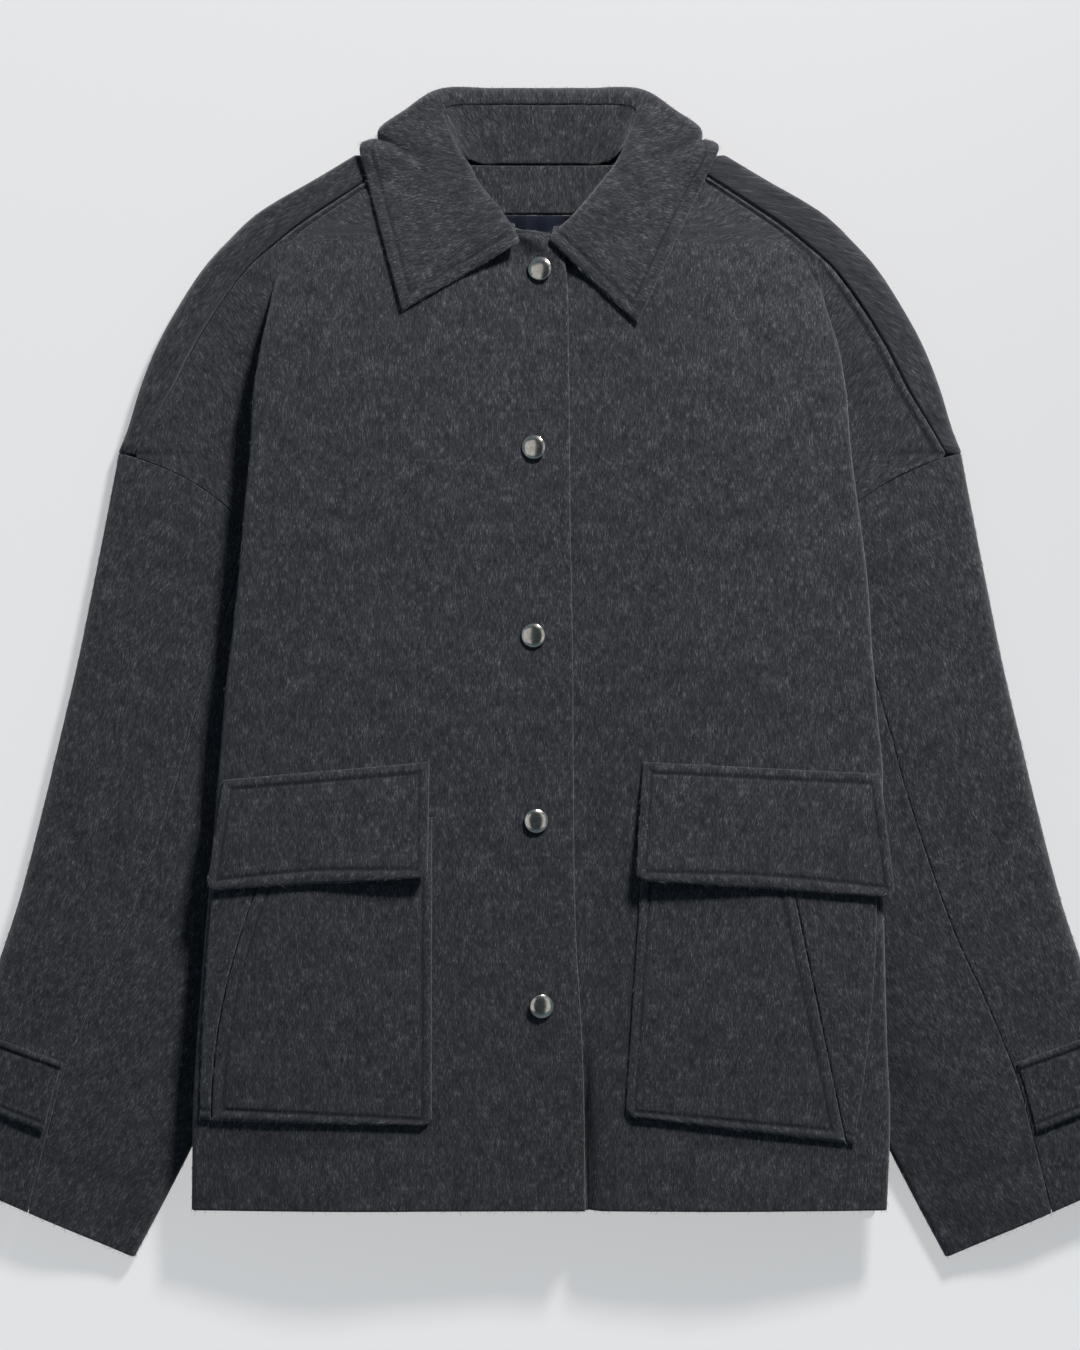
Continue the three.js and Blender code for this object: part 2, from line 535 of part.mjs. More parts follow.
// A closed wall round a grid of centre points, with its faces turned outwards.
function wall(grid, thickness) {
  const rows = grid.length;
  const columns = grid[0].length;
  const at = (i, j) => grid[Math.min(rows - 1, Math.max(0, i))][Math.min(columns - 1, Math.max(0, j))];
  const positions = [];
  for (const face of [1, -1]) {
    for (let i = 0; i < rows; i++) {
      for (let j = 0; j < columns; j++) {
        const along = at(i + 1, j).clone().sub(at(i - 1, j));
        const across = at(i, j + 1).clone().sub(at(i, j - 1));
        const normal = across.cross(along).normalize();
        const point = at(i, j).clone().addScaledVector(normal, (face * thickness) / 2);
        positions.push(point.x, point.y, point.z);
      }
    }
  }
  const index = [];
  const quad = (a, b, c, d) => index.push(a, b, c, a, c, d);
  const upper = (i, j) => i * columns + j;
  const lower = (i, j) => rows * columns + i * columns + j;
  for (let i = 0; i < rows - 1; i++) {
    for (let j = 0; j < columns - 1; j++) {
      quad(upper(i, j), upper(i, j + 1), upper(i + 1, j + 1), upper(i + 1, j));
      quad(lower(i, j), lower(i + 1, j), lower(i + 1, j + 1), lower(i, j + 1));
    }
    quad(upper(i, 0), upper(i + 1, 0), lower(i + 1, 0), lower(i, 0));
    quad(upper(i + 1, columns - 1), upper(i, columns - 1), lower(i, columns - 1), lower(i + 1, columns - 1));
  }
  for (let j = 0; j < columns - 1; j++) {
    quad(upper(0, j + 1), upper(0, j), lower(0, j), lower(0, j + 1));
    quad(upper(rows - 1, j), upper(rows - 1, j + 1), lower(rows - 1, j + 1), lower(rows - 1, j));
  }
  const geometry = new THREE.BufferGeometry();
  geometry.setAttribute("position", new THREE.Float32BufferAttribute(positions, 3));
  geometry.setIndex(index);
  return facingOut(geometry);
}

// Turns every face round if the closed surface is inside out.
function facingOut(geometry) {
  const position = geometry.getAttribute("position");
  const index = geometry.getIndex();
  const [a, b, c] = [new THREE.Vector3(), new THREE.Vector3(), new THREE.Vector3()];
  let volume = 0;
  for (let i = 0; i < index.count; i += 3) {
    a.fromBufferAttribute(position, index.getX(i));
    b.fromBufferAttribute(position, index.getX(i + 1));
    c.fromBufferAttribute(position, index.getX(i + 2));
    volume += a.dot(b.cross(c));
  }
  if (volume < 0) {
    for (let i = 0; i < index.count; i += 3) {
      const second = index.getX(i + 1);
      index.setX(i + 1, index.getX(i + 2));
      index.setX(i + 2, second);
    }
  }
  geometry.computeVertexNormals();
  return geometry;
}

const MATERIALS = {
  wool: new THREE.MeshStandardMaterial({ color: COLOURS.wool, roughness: 0.95, metalness: 0 }),
  satin: new THREE.MeshStandardMaterial({ color: COLOURS.satin, roughness: 0.45, metalness: 0 }),
  metal: new THREE.MeshStandardMaterial({ color: COLOURS.metal, roughness: 0.25, metalness: 1 }),
};

const jacket = new THREE.Group();
const laidFlat = new THREE.Group();
jacket.add(laidFlat);

function addPiece(name, geometry, material = MATERIALS.wool) {
  const mesh = new THREE.Mesh(geometry, material);
  mesh.name = name;
  laidFlat.add(mesh);
  return mesh;
}

const signed = (side, points) => points.map((p) => new THREE.Vector3(side.sign * p.x, p.y, p.z));

function addFronts() {
  for (const [name, side] of Object.entries(SIDES)) {
    const rows = bodyRows(side).map((row) => signed(side, frontRow(side, row)));
    addPiece(`front_${name}`, wall(rows, WALL));
  }
}

function addBack() {
  const rightRows = bodyRows(SIDES.right);
  const leftRows = bodyRows(SIDES.left);
  const rows = rightRows.map((row, i) => {
    const right = signed(SIDES.right, backRow(SIDES.right, row));
    const left = signed(SIDES.left, backRow(SIDES.left, leftRows[i]));
    const middle = new THREE.Vector3(0, row.y, backFloorAt(row.y));
    const points = [...left.reverse(), middle, ...right];
    if (row.y > NECK_EDGE_Y) {
      for (const point of points) {
        const inNeck = 1 - ramp(...NECK_EDGE_FADE, Math.abs(point.x));
        if (point.z < backFloorAt(row.y) + HALF) point.y = lerp(point.y, NECK_EDGE_Y, inNeck);
      }
    }
    return points;
  });
  addPiece("back", wall(rows, WALL));
}

// Shares of the width at which a sleeve panel has its columns, with the face they lie on.
function sleeveColumns(s, panel) {
  const section = sleeveSection(s);
  const { width } = sleevePlan(section, 0.5);
  const near = section.edge / width;
  const next = (section.edge + EDGE_STRIP) / width;
  const far = 1 - (section.top - FLOOR) / 2 / width;
  const gap = SEAM_GAP / 2 / width;
  const turned = (1 + far) / 2;
  const onTop = (shares) => shares.map((share) => [share, 1]);
  const underneath = (shares) => shares.map((share) => [share, -1]);
  if (panel === "under") {
    return [
      ...underneath([UNDER_SEAM - gap, ...UNDERSIDE_SHARES, next, near]),
      ...onTop([0, near, next, ...INNER_TOP_SHARES, section.seam - gap]),
    ];
  }
  return [
    ...onTop([section.seam + gap, ...OUTER_TOP_SHARES, far, turned, 1]),
    ...underneath([turned, far, OUTER_TOP_SHARES.at(-1), UNDER_SEAM + gap]),
  ];
}

function addSleeves() {
  const last = SLEEVE.length - 1;
  for (const [name, side] of Object.entries(SIDES)) {
    for (const panel of ["upper", "under"]) {
      const rows = SLEEVE.map((_, s) => {
        const start = s === 0 ? ARMHOLE_GAP_SHARE : s;
        return sleeveColumns(s, panel).map(([u, over]) => sleevePoint(side, Math.min(start, last), u, over));
      });
      addPiece(`sleeve_${name}_${panel}`, wall(rows, WALL));
    }
  }
}

// One collar section as centre points, from the neck seam over the roll to the leaf's edge.
function collarSection(side, section) {
  const neck = new THREE.Vector3(section.nx, section.ny, section.nz);
  const roll = new THREE.Vector3(section.rx, section.ry, section.rz);
  const wraps = section.tx !== undefined;
  const aim = wraps ? [section.tx, section.ty] : [section.lx, section.ly];
  const out = new THREE.Vector3(aim[0] - roll.x, aim[1] - roll.y, 0).normalize();
  const centre = roll.clone().addScaledVector(out, ROLL_RADIUS);
  centre.z -= ROLL_RADIUS;
  const onArc = (middle, radius, degrees) => {
    const angle = THREE.MathUtils.degToRad(degrees);
    const point = middle.clone().addScaledVector(out, -radius * Math.cos(angle));
    point.z += radius * Math.sin(angle);
    return point;
  };
  const climb = centre.clone().sub(neck);
  const rollStart = 90 - THREE.MathUtils.radToDeg(Math.atan2(climb.z, climb.dot(out)));
  const seam = onArc(centre, ROLL_RADIUS, rollStart);
  const direction = seam.clone().sub(neck).normalize();
  const collar = [
    seam.clone().addScaledVector(direction, -ROLL_START),
    onArc(centre, ROLL_RADIUS, (rollStart + 90) / 2),
    onArc(centre, ROLL_RADIUS, 90),
  ];
  const standTop = collar[0].clone().addScaledVector(direction, -STAND_GAP);
  const stand = [neck, neck.clone().lerp(standTop, 0.5), standTop];
  const top = collar[2];
  const leaf = new THREE.Vector3(section.lx, section.ly, FLOOR);
  if (wraps) {
    const radius = (Math.min(roll.z - COLLAR_TURN_DROP, COLLAR_TURN_TOP) - FLOOR) / 2;
    const turn = new THREE.Vector3(section.tx, section.ty, FLOOR + radius).addScaledVector(out, -radius);
    const topEnd = onArc(turn, radius, 90);
    collar.push(top.clone().lerp(topEnd, 0.5), topEnd);
    for (const degrees of COLLAR_TURN_ANGLES) collar.push(onArc(turn, radius, degrees));
    collar.push(collar[collar.length - 1].clone().lerp(leaf, 0.5), leaf);
    return { stand, collar };
  }
  const lift = top.z - collarGround(side, top.x, top.y) - COLLAR_GAP;
  for (let k = 1; k <= LEAF_STEPS; k++) {
    const point = top.clone().lerp(leaf, k / LEAF_STEPS);
    const settled = 1 - smooth(k / LEAF_STEPS / LEAF_SETTLE);
    point.z = collarGround(side, point.x, point.y) + COLLAR_GAP + lift * settled;
    collar.push(point);
  }
  return { stand, collar };
}

function addCollar() {
  const sectionsOf = (side) =>
    [...COLLAR_BACK, ...side.collar].map((section) => collarSection(side, section));
  const right = sectionsOf(SIDES.right);
  const left = sectionsOf(SIDES.left).slice(1).reverse();
  const rowsOf = (part) => [
    ...left.map((section) => signed(SIDES.left, section[part])),
    ...right.map((section) => section[part]),
  ];
  addPiece("collar_stand", wall(rowsOf("stand"), WALL));
  addPiece("collar", wall(rowsOf("collar"), WALL));
}

function addNeckInside() {
  const strip = (piece) => {
    const rows = [];
    for (let k = 0; k <= NECK_STEPS; k++) {
      const y = lerp(piece.bottom, piece.top, k / NECK_STEPS);
      const z = backFloorAt(y) + piece.lift;
      rows.push([-1, -0.5, 0, 0.5, 1].map((t) => new THREE.Vector3(t * piece.half, y, z)));
    }
    return wall(rows, piece.thickness);
  };
  addPiece("neck_facing", strip(NECK_FACING));
  addPiece("neck_lining", strip(NECK_LINING), MATERIALS.satin);
}

// A piece that lies on a front: its corners in plan, its columns and rows, and its height above the
// front, given along its length.
function onFront(side, corners, [columns, rows], liftAt) {
  const bulge = corners.bulge ?? 0;
  const grid = [];
  for (let i = 0; i <= rows; i++) {
    const v = i / rows;
    const points = [];
    for (let j = 0; j <= columns; j++) {
      const u = j / columns;
      const x = lerp(lerp(corners.tl[0], corners.tr[0], u), lerp(corners.bl[0], corners.br[0], u), v);
      const y = lerp(lerp(corners.tl[1], corners.tr[1], u), lerp(corners.bl[1], corners.br[1], u), v);
      const out = x + bulge * u * 4 * v * (1 - v);
      points.push(new THREE.Vector3(side.sign * out, y, frontHeight(side, out, y) + liftAt(v)));
    }
    grid.push(points);
  }
  return grid;
}

function flapLift(v) {
  const [seamLift, bodyLift, freeLift] = FLAP_LIFT;
  const climb = smooth(v / FLAP_FOLD_SHARE);
  const free = smooth((v - FLAP_FREE_SHARE) / (1 - FLAP_FREE_SHARE));
  return lerp(seamLift, bodyLift, climb) + (freeLift - bodyLift) * free;
}

function addPockets() {
  const patchLift = () => PATCH_LIFT;
  for (const [name, side] of Object.entries(SIDES)) {
    const { flap, patch, side: strip } = side.pocket;
    addPiece(`pocket_${name}`, wall(onFront(side, patch, POCKET_GRID.patch, patchLift), WALL));
    addPiece(`pocket_side_${name}`, wall(onFront(side, strip, POCKET_GRID.side, patchLift), WALL));
    addPiece(`flap_${name}`, wall(onFront(side, flap, POCKET_GRID.flap, flapLift), WALL));
  }
}

// A point above the sleeve's top surface, and the direction straight out of the cloth there.
function sleeveSurface(side, s, u) {
  const step = 0.01; // in sections, and in shares of the width
  const point = sleevePoint(side, s, u, 1);
  const along = sleevePoint(side, s + step, u, 1).sub(sleevePoint(side, s - step, u, 1));
  const across = sleevePoint(side, s, Math.min(u + step, 1), 1).sub(sleevePoint(side, s, u - step, 1));
  const normal = across.cross(along).normalize();
  if (normal.z < 0) normal.negate();
  return { point, normal };
}

function addTabs() {
  for (const [name, side] of Object.entries(SIDES)) {
    const rows = [];
    for (let i = 0; i <= TAB_ROWS; i++) {
      const s = lerp(TAB.from, TAB.to, i / TAB_ROWS);
      const section = sleeveSection(s);
      const { width } = sleevePlan(section, 0.5);
      rows.push(
        TAB_SHARES.map((t) => {
          const u = section.seam + TAB.start + (t * TAB.length) / width;
          const { point, normal } = sleeveSurface(side, s, Math.min(u, TAB_OUTERMOST));
          return point.addScaledVector(normal, TAB_LIFT);
        }),
      );
    }
    addPiece(`tab_${name}`, wall(rows, WALL));
    const s = (TAB.from + TAB.to) / 2;
    const section = sleeveSection(s);
    const { width } = sleevePlan(section, 0.5);
    const { point, normal } = sleeveSurface(side, s, section.seam + TAB.start + TAB.snapFrom / width);
    point.addScaledVector(normal, TAB_LIFT + HALF + TAB_SNAP_GAP);
    addSnap(`tab_snap_${name}`, point, normal, TAB_SNAP_RADIUS);
  }
}

function addSnap(name, base, normal, radius) {
  const k = radius / SNAP_RADIUS;
  const profile = SNAP_PROFILE.map(([r, z]) => new THREE.Vector2(r * k, z * k));
  const cap = new THREE.LatheGeometry(profile, SNAP_SIDES);
  cap.rotateX(Math.PI / 2);
  cap.deleteAttribute("uv");
  const mesh = addPiece(name, cap, MATERIALS.metal);
  mesh.quaternion.setFromUnitVectors(new THREE.Vector3(0, 0, 1), normal);
  mesh.position.copy(base);
}

// The snaps lie on the left front, whose x points the other way.
function addSnaps() {
  const heightAt = (x, y) => frontHeight(SIDES.left, -x, y);
  SNAPS.forEach(({ x, y }, i) => {
    const slopeX = (heightAt(x + SLOPE_STEP, y) - heightAt(x - SLOPE_STEP, y)) / (2 * SLOPE_STEP);
    const slopeY = (heightAt(x, y + SLOPE_STEP) - heightAt(x, y - SLOPE_STEP)) / (2 * SLOPE_STEP);
    const normal = new THREE.Vector3(-slopeX, -slopeY, 1).normalize();
    const base = new THREE.Vector3(x, y, heightAt(x, y)).addScaledVector(normal, HALF + SNAP_GAP);
    addSnap(`snap_${i + 1}`, base, normal, SNAP_RADIUS);
  });
}

addFronts();
addBack();
addSleeves();
addCollar();
addNeckInside();
addPockets();
addTabs();
addSnaps();

// The origin is the middle of the whole jacket's underside.
jacket.updateMatrixWorld(true);
const box = new THREE.Box3().setFromObject(jacket);
laidFlat.position.set(-(box.min.x + box.max.x) / 2, -(box.min.y + box.max.y) / 2, -box.min.z);

export default jacket;
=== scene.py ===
"""A brushed wool jacket with a snap front, lying on its back, dressed for its picture.

The classes work in millimetres: +X to the viewer's right, +Y from the hem to the collar and +Z up
from the surface, with the hem at zero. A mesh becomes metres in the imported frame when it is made.
"""

import logging
import math
from collections.abc import Callable, Sequence
from dataclasses import dataclass, field
from enum import Enum

import bmesh
import bpy
import numpy as np
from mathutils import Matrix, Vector

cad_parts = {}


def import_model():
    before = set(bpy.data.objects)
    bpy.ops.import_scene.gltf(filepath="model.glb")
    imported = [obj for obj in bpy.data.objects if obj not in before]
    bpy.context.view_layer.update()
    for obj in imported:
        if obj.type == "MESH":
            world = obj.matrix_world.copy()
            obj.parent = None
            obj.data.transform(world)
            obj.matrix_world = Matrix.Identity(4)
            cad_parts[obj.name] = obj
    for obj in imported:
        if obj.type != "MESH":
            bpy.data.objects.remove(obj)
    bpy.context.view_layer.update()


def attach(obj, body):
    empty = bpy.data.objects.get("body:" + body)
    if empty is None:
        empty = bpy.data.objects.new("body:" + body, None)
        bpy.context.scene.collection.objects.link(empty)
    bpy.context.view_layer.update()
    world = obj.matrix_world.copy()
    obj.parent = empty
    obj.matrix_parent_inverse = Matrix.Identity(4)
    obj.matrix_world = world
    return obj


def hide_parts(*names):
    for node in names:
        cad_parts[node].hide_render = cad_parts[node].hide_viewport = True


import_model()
LOG = logging.getLogger("jacket")

Array = np.ndarray

MM = 0.001
HEM_TO_ORIGIN = 358.32
BODY = "root"

# Thickness of the wool and of the satin, and the height of the lowest layer's centre.
WALL = 2.4
HALF = WALL / 2
SATIN = 1.2
FLOOR = HALF

# Gaps between sewn pieces, and from one layer's centre to the next one's.
SEAM_GAP = 0.5
ARMHOLE_GAP = 0.06
LAYER = WALL + 0.5

# How the rows and columns of a grid close up towards its edges, as shares of its finest step.
RIM_SHARES = (0.3, 0.8, 1.6, 2.8)
RIM_WIDTH = 3.5
EDGE_SHARES = (0.0, 0.2, 0.55)

# A distance that stands for never, the start of the underside's UV map, and the least length.
FAR = 1000.0
UNDERSIDE_MAP = 3000.0
TINY = 1e-9


def clamp(value: Array | float) -> Array:
    """Value held between nought and one."""
    return np.clip(value, 0.0, 1.0)


def smooth(value: Array | float) -> Array:
    """Value clamped and eased at both ends."""
    t = clamp(value)
    return t * t * (3.0 - 2.0 * t)


def ramp(start: float, end: float, value: Array | float) -> Array:
    """Nought before start, one after end, eased between."""
    return smooth((value - start) / (end - start))


def mix(first: Array | float, second: Array | float, share: Array | float) -> Array:
    """The value a share of the way from first to second."""
    return first + (second - first) * share


def unit(vectors: Array) -> Array:
    """Vectors scaled to length one along the last axis."""
    return vectors / np.maximum(np.linalg.norm(vectors, axis=-1, keepdims=True), TINY)


def world(points: Array) -> Array:
    """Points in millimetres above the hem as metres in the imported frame.

    Args:
        points: An array whose last axis holds x, y and z.

    Returns:
        The same points in the frame.
    """
    placed = np.array(points, dtype=float)
    placed[..., 1] -= HEM_TO_ORIGIN
    return placed * MM


@dataclass(frozen=True)
class Table:
    """Rows of sizes, joined by smooth curves that never overshoot a row."""

    names: tuple[str, ...]
    rows: tuple[tuple[float, ...], ...]

    def at(self, name: str, key: Array | float) -> Array:
        """One column's value at a key.

        Args:
            name: The column.
            key: Value or values of the first column.

        Returns:
            The column's values there.
        """
        keys = np.array([row[0] for row in self.rows])
        values = np.array([row[self.names.index(name)] for row in self.rows])
        slope = np.diff(values) / np.diff(keys)
        product = slope[:-1] * slope[1:]
        total = slope[:-1] + slope[1:]
        inner = np.divide(2.0 * product, total, out=np.zeros_like(total), where=product > 0.0)
        tangent = np.concatenate([slope[:1], inner, slope[-1:]])
        held = np.clip(key, keys[0], keys[-1])
        i = np.clip(np.searchsorted(keys, held, side="right") - 1, 0, len(keys) - 2)
        span = keys[i + 1] - keys[i]
        t = (held - keys[i]) / span
        h = smooth(t)
        bend = span * (t * (1 - t) ** 2 * tangent[i] - t * t * (1 - t) * tangent[i + 1])
        return values[i] * (1 - h) + values[i + 1] * h + bend


@dataclass(frozen=True)
class Fold:
    """A soft trough (negative depth) or ridge along a line on the front."""

    start: tuple[float, float]
    end: tuple[float, float]
    depth: float
    width: float

    def height(self, x: Array, y: Array) -> Array:
        """Height that the fold adds at a place."""
        dx = self.end[0] - self.start[0]
        dy = self.end[1] - self.start[1]
        length = math.hypot(dx, dy)
        along = ((x - self.start[0]) * dx + (y - self.start[1]) * dy) / length**2
        across = ((x - self.start[0]) * dy - (y - self.start[1]) * dx) / length
        fade = clamp(4.0 * along * (1.0 - along))
        return self.depth * fade * np.exp(-((across / self.width) ** 2))


HEIGHTS = Table(
    ("y", "middle", "crown", "fold", "crease"),
    (
        (0, 38, 43, 33, 11.8),
        (80, 39, 44, 37, 11.8),
        (190, 40, 45, 39, 11.8),
        (356, 40, 45, 39, 11.8),
        (371, 40, 45, 39, 11.9),
        (453, 40, 44, 38.5, 12.6),
        (509, 39, 43, 37, 14),
        (572, 36, 39, 33.5, 15.5),
        (607, 33, 35, 29.5, 16),
        (641, 29.5, 29, 23, 16),
        (668, 25, 24, 18.5, 15),
        (704, 18, 18, 14, 13),
    ),
)
PLEAT = Table(("y", "front"), ((545, 1), (575, 0.92), (607, 0.6), (628, 0.25), (652, 0)))
EDGE_COLUMNS = ("y", "fold", "crease", "inner")
RIGHT_EDGE = Table(
    EDGE_COLUMNS,
    (
        (0, 230, 200, -25),
        (60, 232, 200, -25),
        (107, 230, 194, -25),
        (140, 229, 181, -25),
        (180, 228, 169, -25),
        (225, 227, 161, -25),
        (287, 227, 156, -25),
        (335, 223, 153, -25),
        (356, 221.5, 154, -25),
        (371, 220, 157, -25),
        (417, 217, 161, -25),
        (474, 210, 171, -25),
        (505, 206, 178, -25),
        (545, 203, 183, -25),
        (575, 200, 186, -25),
        (607, 194, 187, -25),
        (641, 185, 183, -22),
    ),
)
LEFT_EDGE = Table(
    EDGE_COLUMNS,
    (
        (0, 231, 200, -30),
        (60, 230, 200, -29.5),
        (101, 228, 195, -28.5),
        (140, 225, 181, -26.5),
        (180, 222, 169, -24),
        (225, 218, 160, -22.8),
        (287, 213, 154, -22.3),
        (335, 209, 152, -22),
        (356, 207, 153, -22),
        (371, 205, 156, -21.8),
        (417, 200, 160, -21),
        (474, 195, 168, -20),
        (505, 192, 172, -19.8),
        (545, 190, 174, -19.4),
        (575, 187, 175, -19),
        (607, 185, 176, -18.6),
        (641, 183, 178, -16),
    ),
)
NECKLINE = Table(("y", "x"), ((650, -10), (657, 34), (664.5, 45), (673, 54), (686, 60), (704, 58)))
SHOULDER = Table(
    ("y", "seam", "edge", "height"),
    (
        (505.9, 271.2, 281.2, 13.5),
        (520, 263, 275.5, 13.5),
        (548, 246, 267, 13.5),
        (577, 231, 255.5, 13.8),
        (606, 212.5, 239.5, 14.2),
        (630, 194, 223.5, 14.8),
        (650, 171, 205, 15.2),
        (657, 162, 198, 15.4),
        (664.5, 151, 189, 15.5),
        (673, 138, 176, 15.5),
        (686, 118, 153, 15.2),
        (704, 90, 123, 14.5),
    ),
)
SLEEVE = Table(
    ("s", "ix", "iy", "ox", "oy", "seam", "top", "mid", "edge", "bow"),
    (
        (0, 165, 371, 281, 505, 0.45, 14.2, 8.85, 1.5, 31),
        (1, 162, 345, 288, 468, 0.46, 14.5, 8.9, 1.5, 24),
        (2, 163, 310, 299, 412, 0.48, 14.8, 9, 1.5, 16),
        (3, 166, 270, 309, 363, 0.5, 15.4, 9.1, 1.5, 9),
        (4, 170, 225, 320, 316, 0.52, 16, 9.2, 1.5, 4),
        (5, 178, 180, 333, 262, 0.545, 17, 9.2, 1.5, 0),
        (6, 190, 140, 347, 208, 0.57, 18, 9.3, 1.6, 0),
        (7, 205, 107, 361, 165, 0.59, 19, 9.6, 1.8, 0),
        (8, 225, 60, 378, 115, 0.6, 19.6, 9.6, 2.4, 0),
        (9, 249, 12, 392, 68, 0.57, 20, 7.6, 3.4, 0),
        (10, 273, -33, 405, 25, 0.523, 20.5, 6.4, 4.2, 0),
    ),
)


@dataclass(frozen=True)
class Side:
    """One half of the jacket. Shapes are worked out with x pointing outwards."""

    name: str
    sign: float
    edge: Table
    lap: float

    def signed(self, points: Array) -> Array:
        """Points with x given its sign."""
        return points * np.array([self.sign, 1.0, 1.0])


RIGHT = Side("right", 1.0, RIGHT_EDGE, -0.5)
LEFT = Side("left", -1.0, LEFT_EDGE, 0.5)
SIDES = (RIGHT, LEFT)


@dataclass(frozen=True)
class Ripple:
    """One long, faint wave of the cloth."""

    length: float
    turn: float
    phase: float
    height: float

    def at(self, x: Array, y: Array) -> Array:
        """Height of the wave at a place."""
        angle = math.radians(self.turn)
        along = x * math.cos(angle) + y * math.sin(angle)
        return self.height * np.sin(2.0 * math.pi * along / self.length + self.phase)


@dataclass(frozen=True)
class BodyForm:
    """The shape that the fronts, the back and all that lies on them share."""

    fold_radius: float = 3.4
    crease_radius: float = 1.5
    back_fold_radius: float = 1.45
    back_fold_inset: float = 5.0
    back_pleat: tuple[float, float] = (453.0, 575.0)
    pleat_opens: float = 2.2
    lap_lift: float = 3.2
    lap_fade: tuple[float, float] = (34.0, 78.0)
    crown_round: float = 30.0
    overhang: float = 0.02
    neck_rise: tuple[float, float] = (650.0, 667.0)
    neck_lift: float = 3.2
    arm_settle: float = 1.6
    corner_from: float = 645.0
    corner_top: float = 650.0
    folds: tuple[Fold, ...] = (
        Fold((34, 345), (37, 60), -2.6, 11),
        Fold((30, 110), (33, -40), -2.2, 9),
        Fold((-70, 610), (-110, 470), 1.6, 24),
        Fold((120, 600), (150, 460), 1.4, 26),
        Fold((-130, 40), (-120, -40), 1.8, 40),
        Fold((125, 40), (135, -40), 1.6, 38),
    )
    ripples: tuple[Ripple, ...] = (
        Ripple(167, 8, 0.4, 0.35),
        Ripple(121, 97, 2.1, 0.3),
        Ripple(83, 41, 1.2, 0.2),
        Ripple(71, 133, 4.0, 0.2),
        Ripple(47, 74, 0.9, 0.09),
        Ripple(39, 158, 5.1, 0.08),
    )

    def pleat(self, y: Array | float) -> Array:
        """How much of the front's pleat is formed: one where its side folds right over."""
        return PLEAT.at("front", y)

    def floor(self, y: Array | float) -> Array:
        """Height of the back's centre, which lies on the collar's leaf near the neck."""
        return FLOOR + self.neck_lift * ramp(*self.neck_rise, y)

    def limit(self, side: Side, y: Array | float) -> Array:
        """Outer limit of the part of a front that lies on top."""
        seam = SHOULDER.at("seam", y)
        return mix(seam, side.edge.at("fold", y) - self.fold_radius, self.pleat(y))

    def height(self, side: Side, x: Array, y: Array | float) -> Array:
        """Centre height of a front's upper surface.

        Args:
            side: The half of the jacket.
            x: Distance outwards from the middle.
            y: Height above the hem.

        Returns:
            The height above the surface it lies on.
        """
        limit = self.limit(side, y)
        rounded = np.hypot(x, self.crown_round) - self.crown_round
        u = clamp(rounded / (limit - self.crown_round))
        middle = HEIGHTS.at("middle", y)
        crown = HEIGHTS.at("crown", y)
        outer = mix(SHOULDER.at("height", y), HEIGHTS.at("fold", y), self.pleat(y))
        shape = (middle * (1 - u) - outer * u) * (1 - 2 * u) + crown * 4 * u * (1 - u)
        lap = side.lap * self.lap_lift * (1 - ramp(*self.lap_fade, np.abs(x)))
        past = np.maximum(0.0, x - limit)
        soft = sum(fold.height(side.sign * x, y) for fold in self.folds)
        wavy = sum(ripple.at(side.sign * x, y) for ripple in self.ripples)
        return shape + lap + soft + wavy - self.overhang * past * past

    def inner(self, side: Side, y: float) -> float:
        """Distance of a front's inner edge from the middle, below and along the neckline."""
        below = side.edge.at("inner", y)
        turned = mix(below, NECKLINE.at("x", y), ramp(self.corner_from, self.corner_top, y))
        return float(below if y < self.corner_from else turned)


FORM = BodyForm()


@dataclass(frozen=True)
class SleeveForm:
    """The flattened tube of a sleeve. s counts its sections, u is the share of its width."""

    rise: float = 62.0
    lift: float = 6.2
    lift_spread: tuple[float, float] = (10.0, 40.0)
    lift_end: tuple[float, float] = (-40.0, 10.0)
    settle: tuple[float, float] = (4.0, 6.0)
    back_seam: float = 0.75

    def plan(self, s: Array, u: Array) -> tuple[Array, Array, Array]:
        """Place of a point in plan, and the width of the sleeve there."""
        ix, iy, ox, oy = (SLEEVE.at(name, s) for name in ("ix", "iy", "ox", "oy"))
        width = np.hypot(ox - ix, oy - iy)
        bow = SLEEVE.at("bow", s) * 4.0 * u * (1.0 - u)
        x = mix(ix, ox, u) - bow * (oy - iy) / width
        y = mix(iy, oy, u) + bow * (ox - ix) / width
        return x, y, width

    def point(self, side: Side, s: Array, u: Array, over: Array) -> Array:
        """Centre of the cloth, with x outwards.

        Args:
            side: The half of the jacket.
            s: Section number.
            u: Share of the width from the inner edge.
            over: One on the top, minus one on the underside.

        Returns:
            The points.
        """
        x, y, width = self.plan(s, u)
        edge = SLEEVE.at("edge", s)
        top = SLEEVE.at("top", s)
        mid = SLEEVE.at("mid", s)
        from_inner = u * width
        from_outer = (1 - u) * width
        climb = smooth((from_inner - edge) / self.rise)
        inner_turn = np.sqrt(1 - clamp(1 - from_inner / edge) ** 2)
        fold = side.edge.at("fold", y) - FORM.back_fold_inset
        lifted = 1 - ramp(*self.lift_spread, x - fold)
        ground = FLOOR + self.lift * lifted * ramp(*self.lift_end, y)
        settled = smooth((from_inner - edge) / (self.settle[0] * edge + self.settle[1]))
        above = mix(mid + edge, top, climb)
        below = mix(mid - edge, ground, settled)
        radius = (top - FLOOR) / 2
        outer_turn = np.sqrt(1 - clamp(1 - from_outer / radius) ** 2)
        centre = mix(mid, (above + below) / 2, clamp(from_inner / edge))
        half = (above - below) / 2 * inner_turn * outer_turn
        return np.stack(np.broadcast_arrays(x, y, centre + over * half), axis=-1)


ARM = SleeveForm()


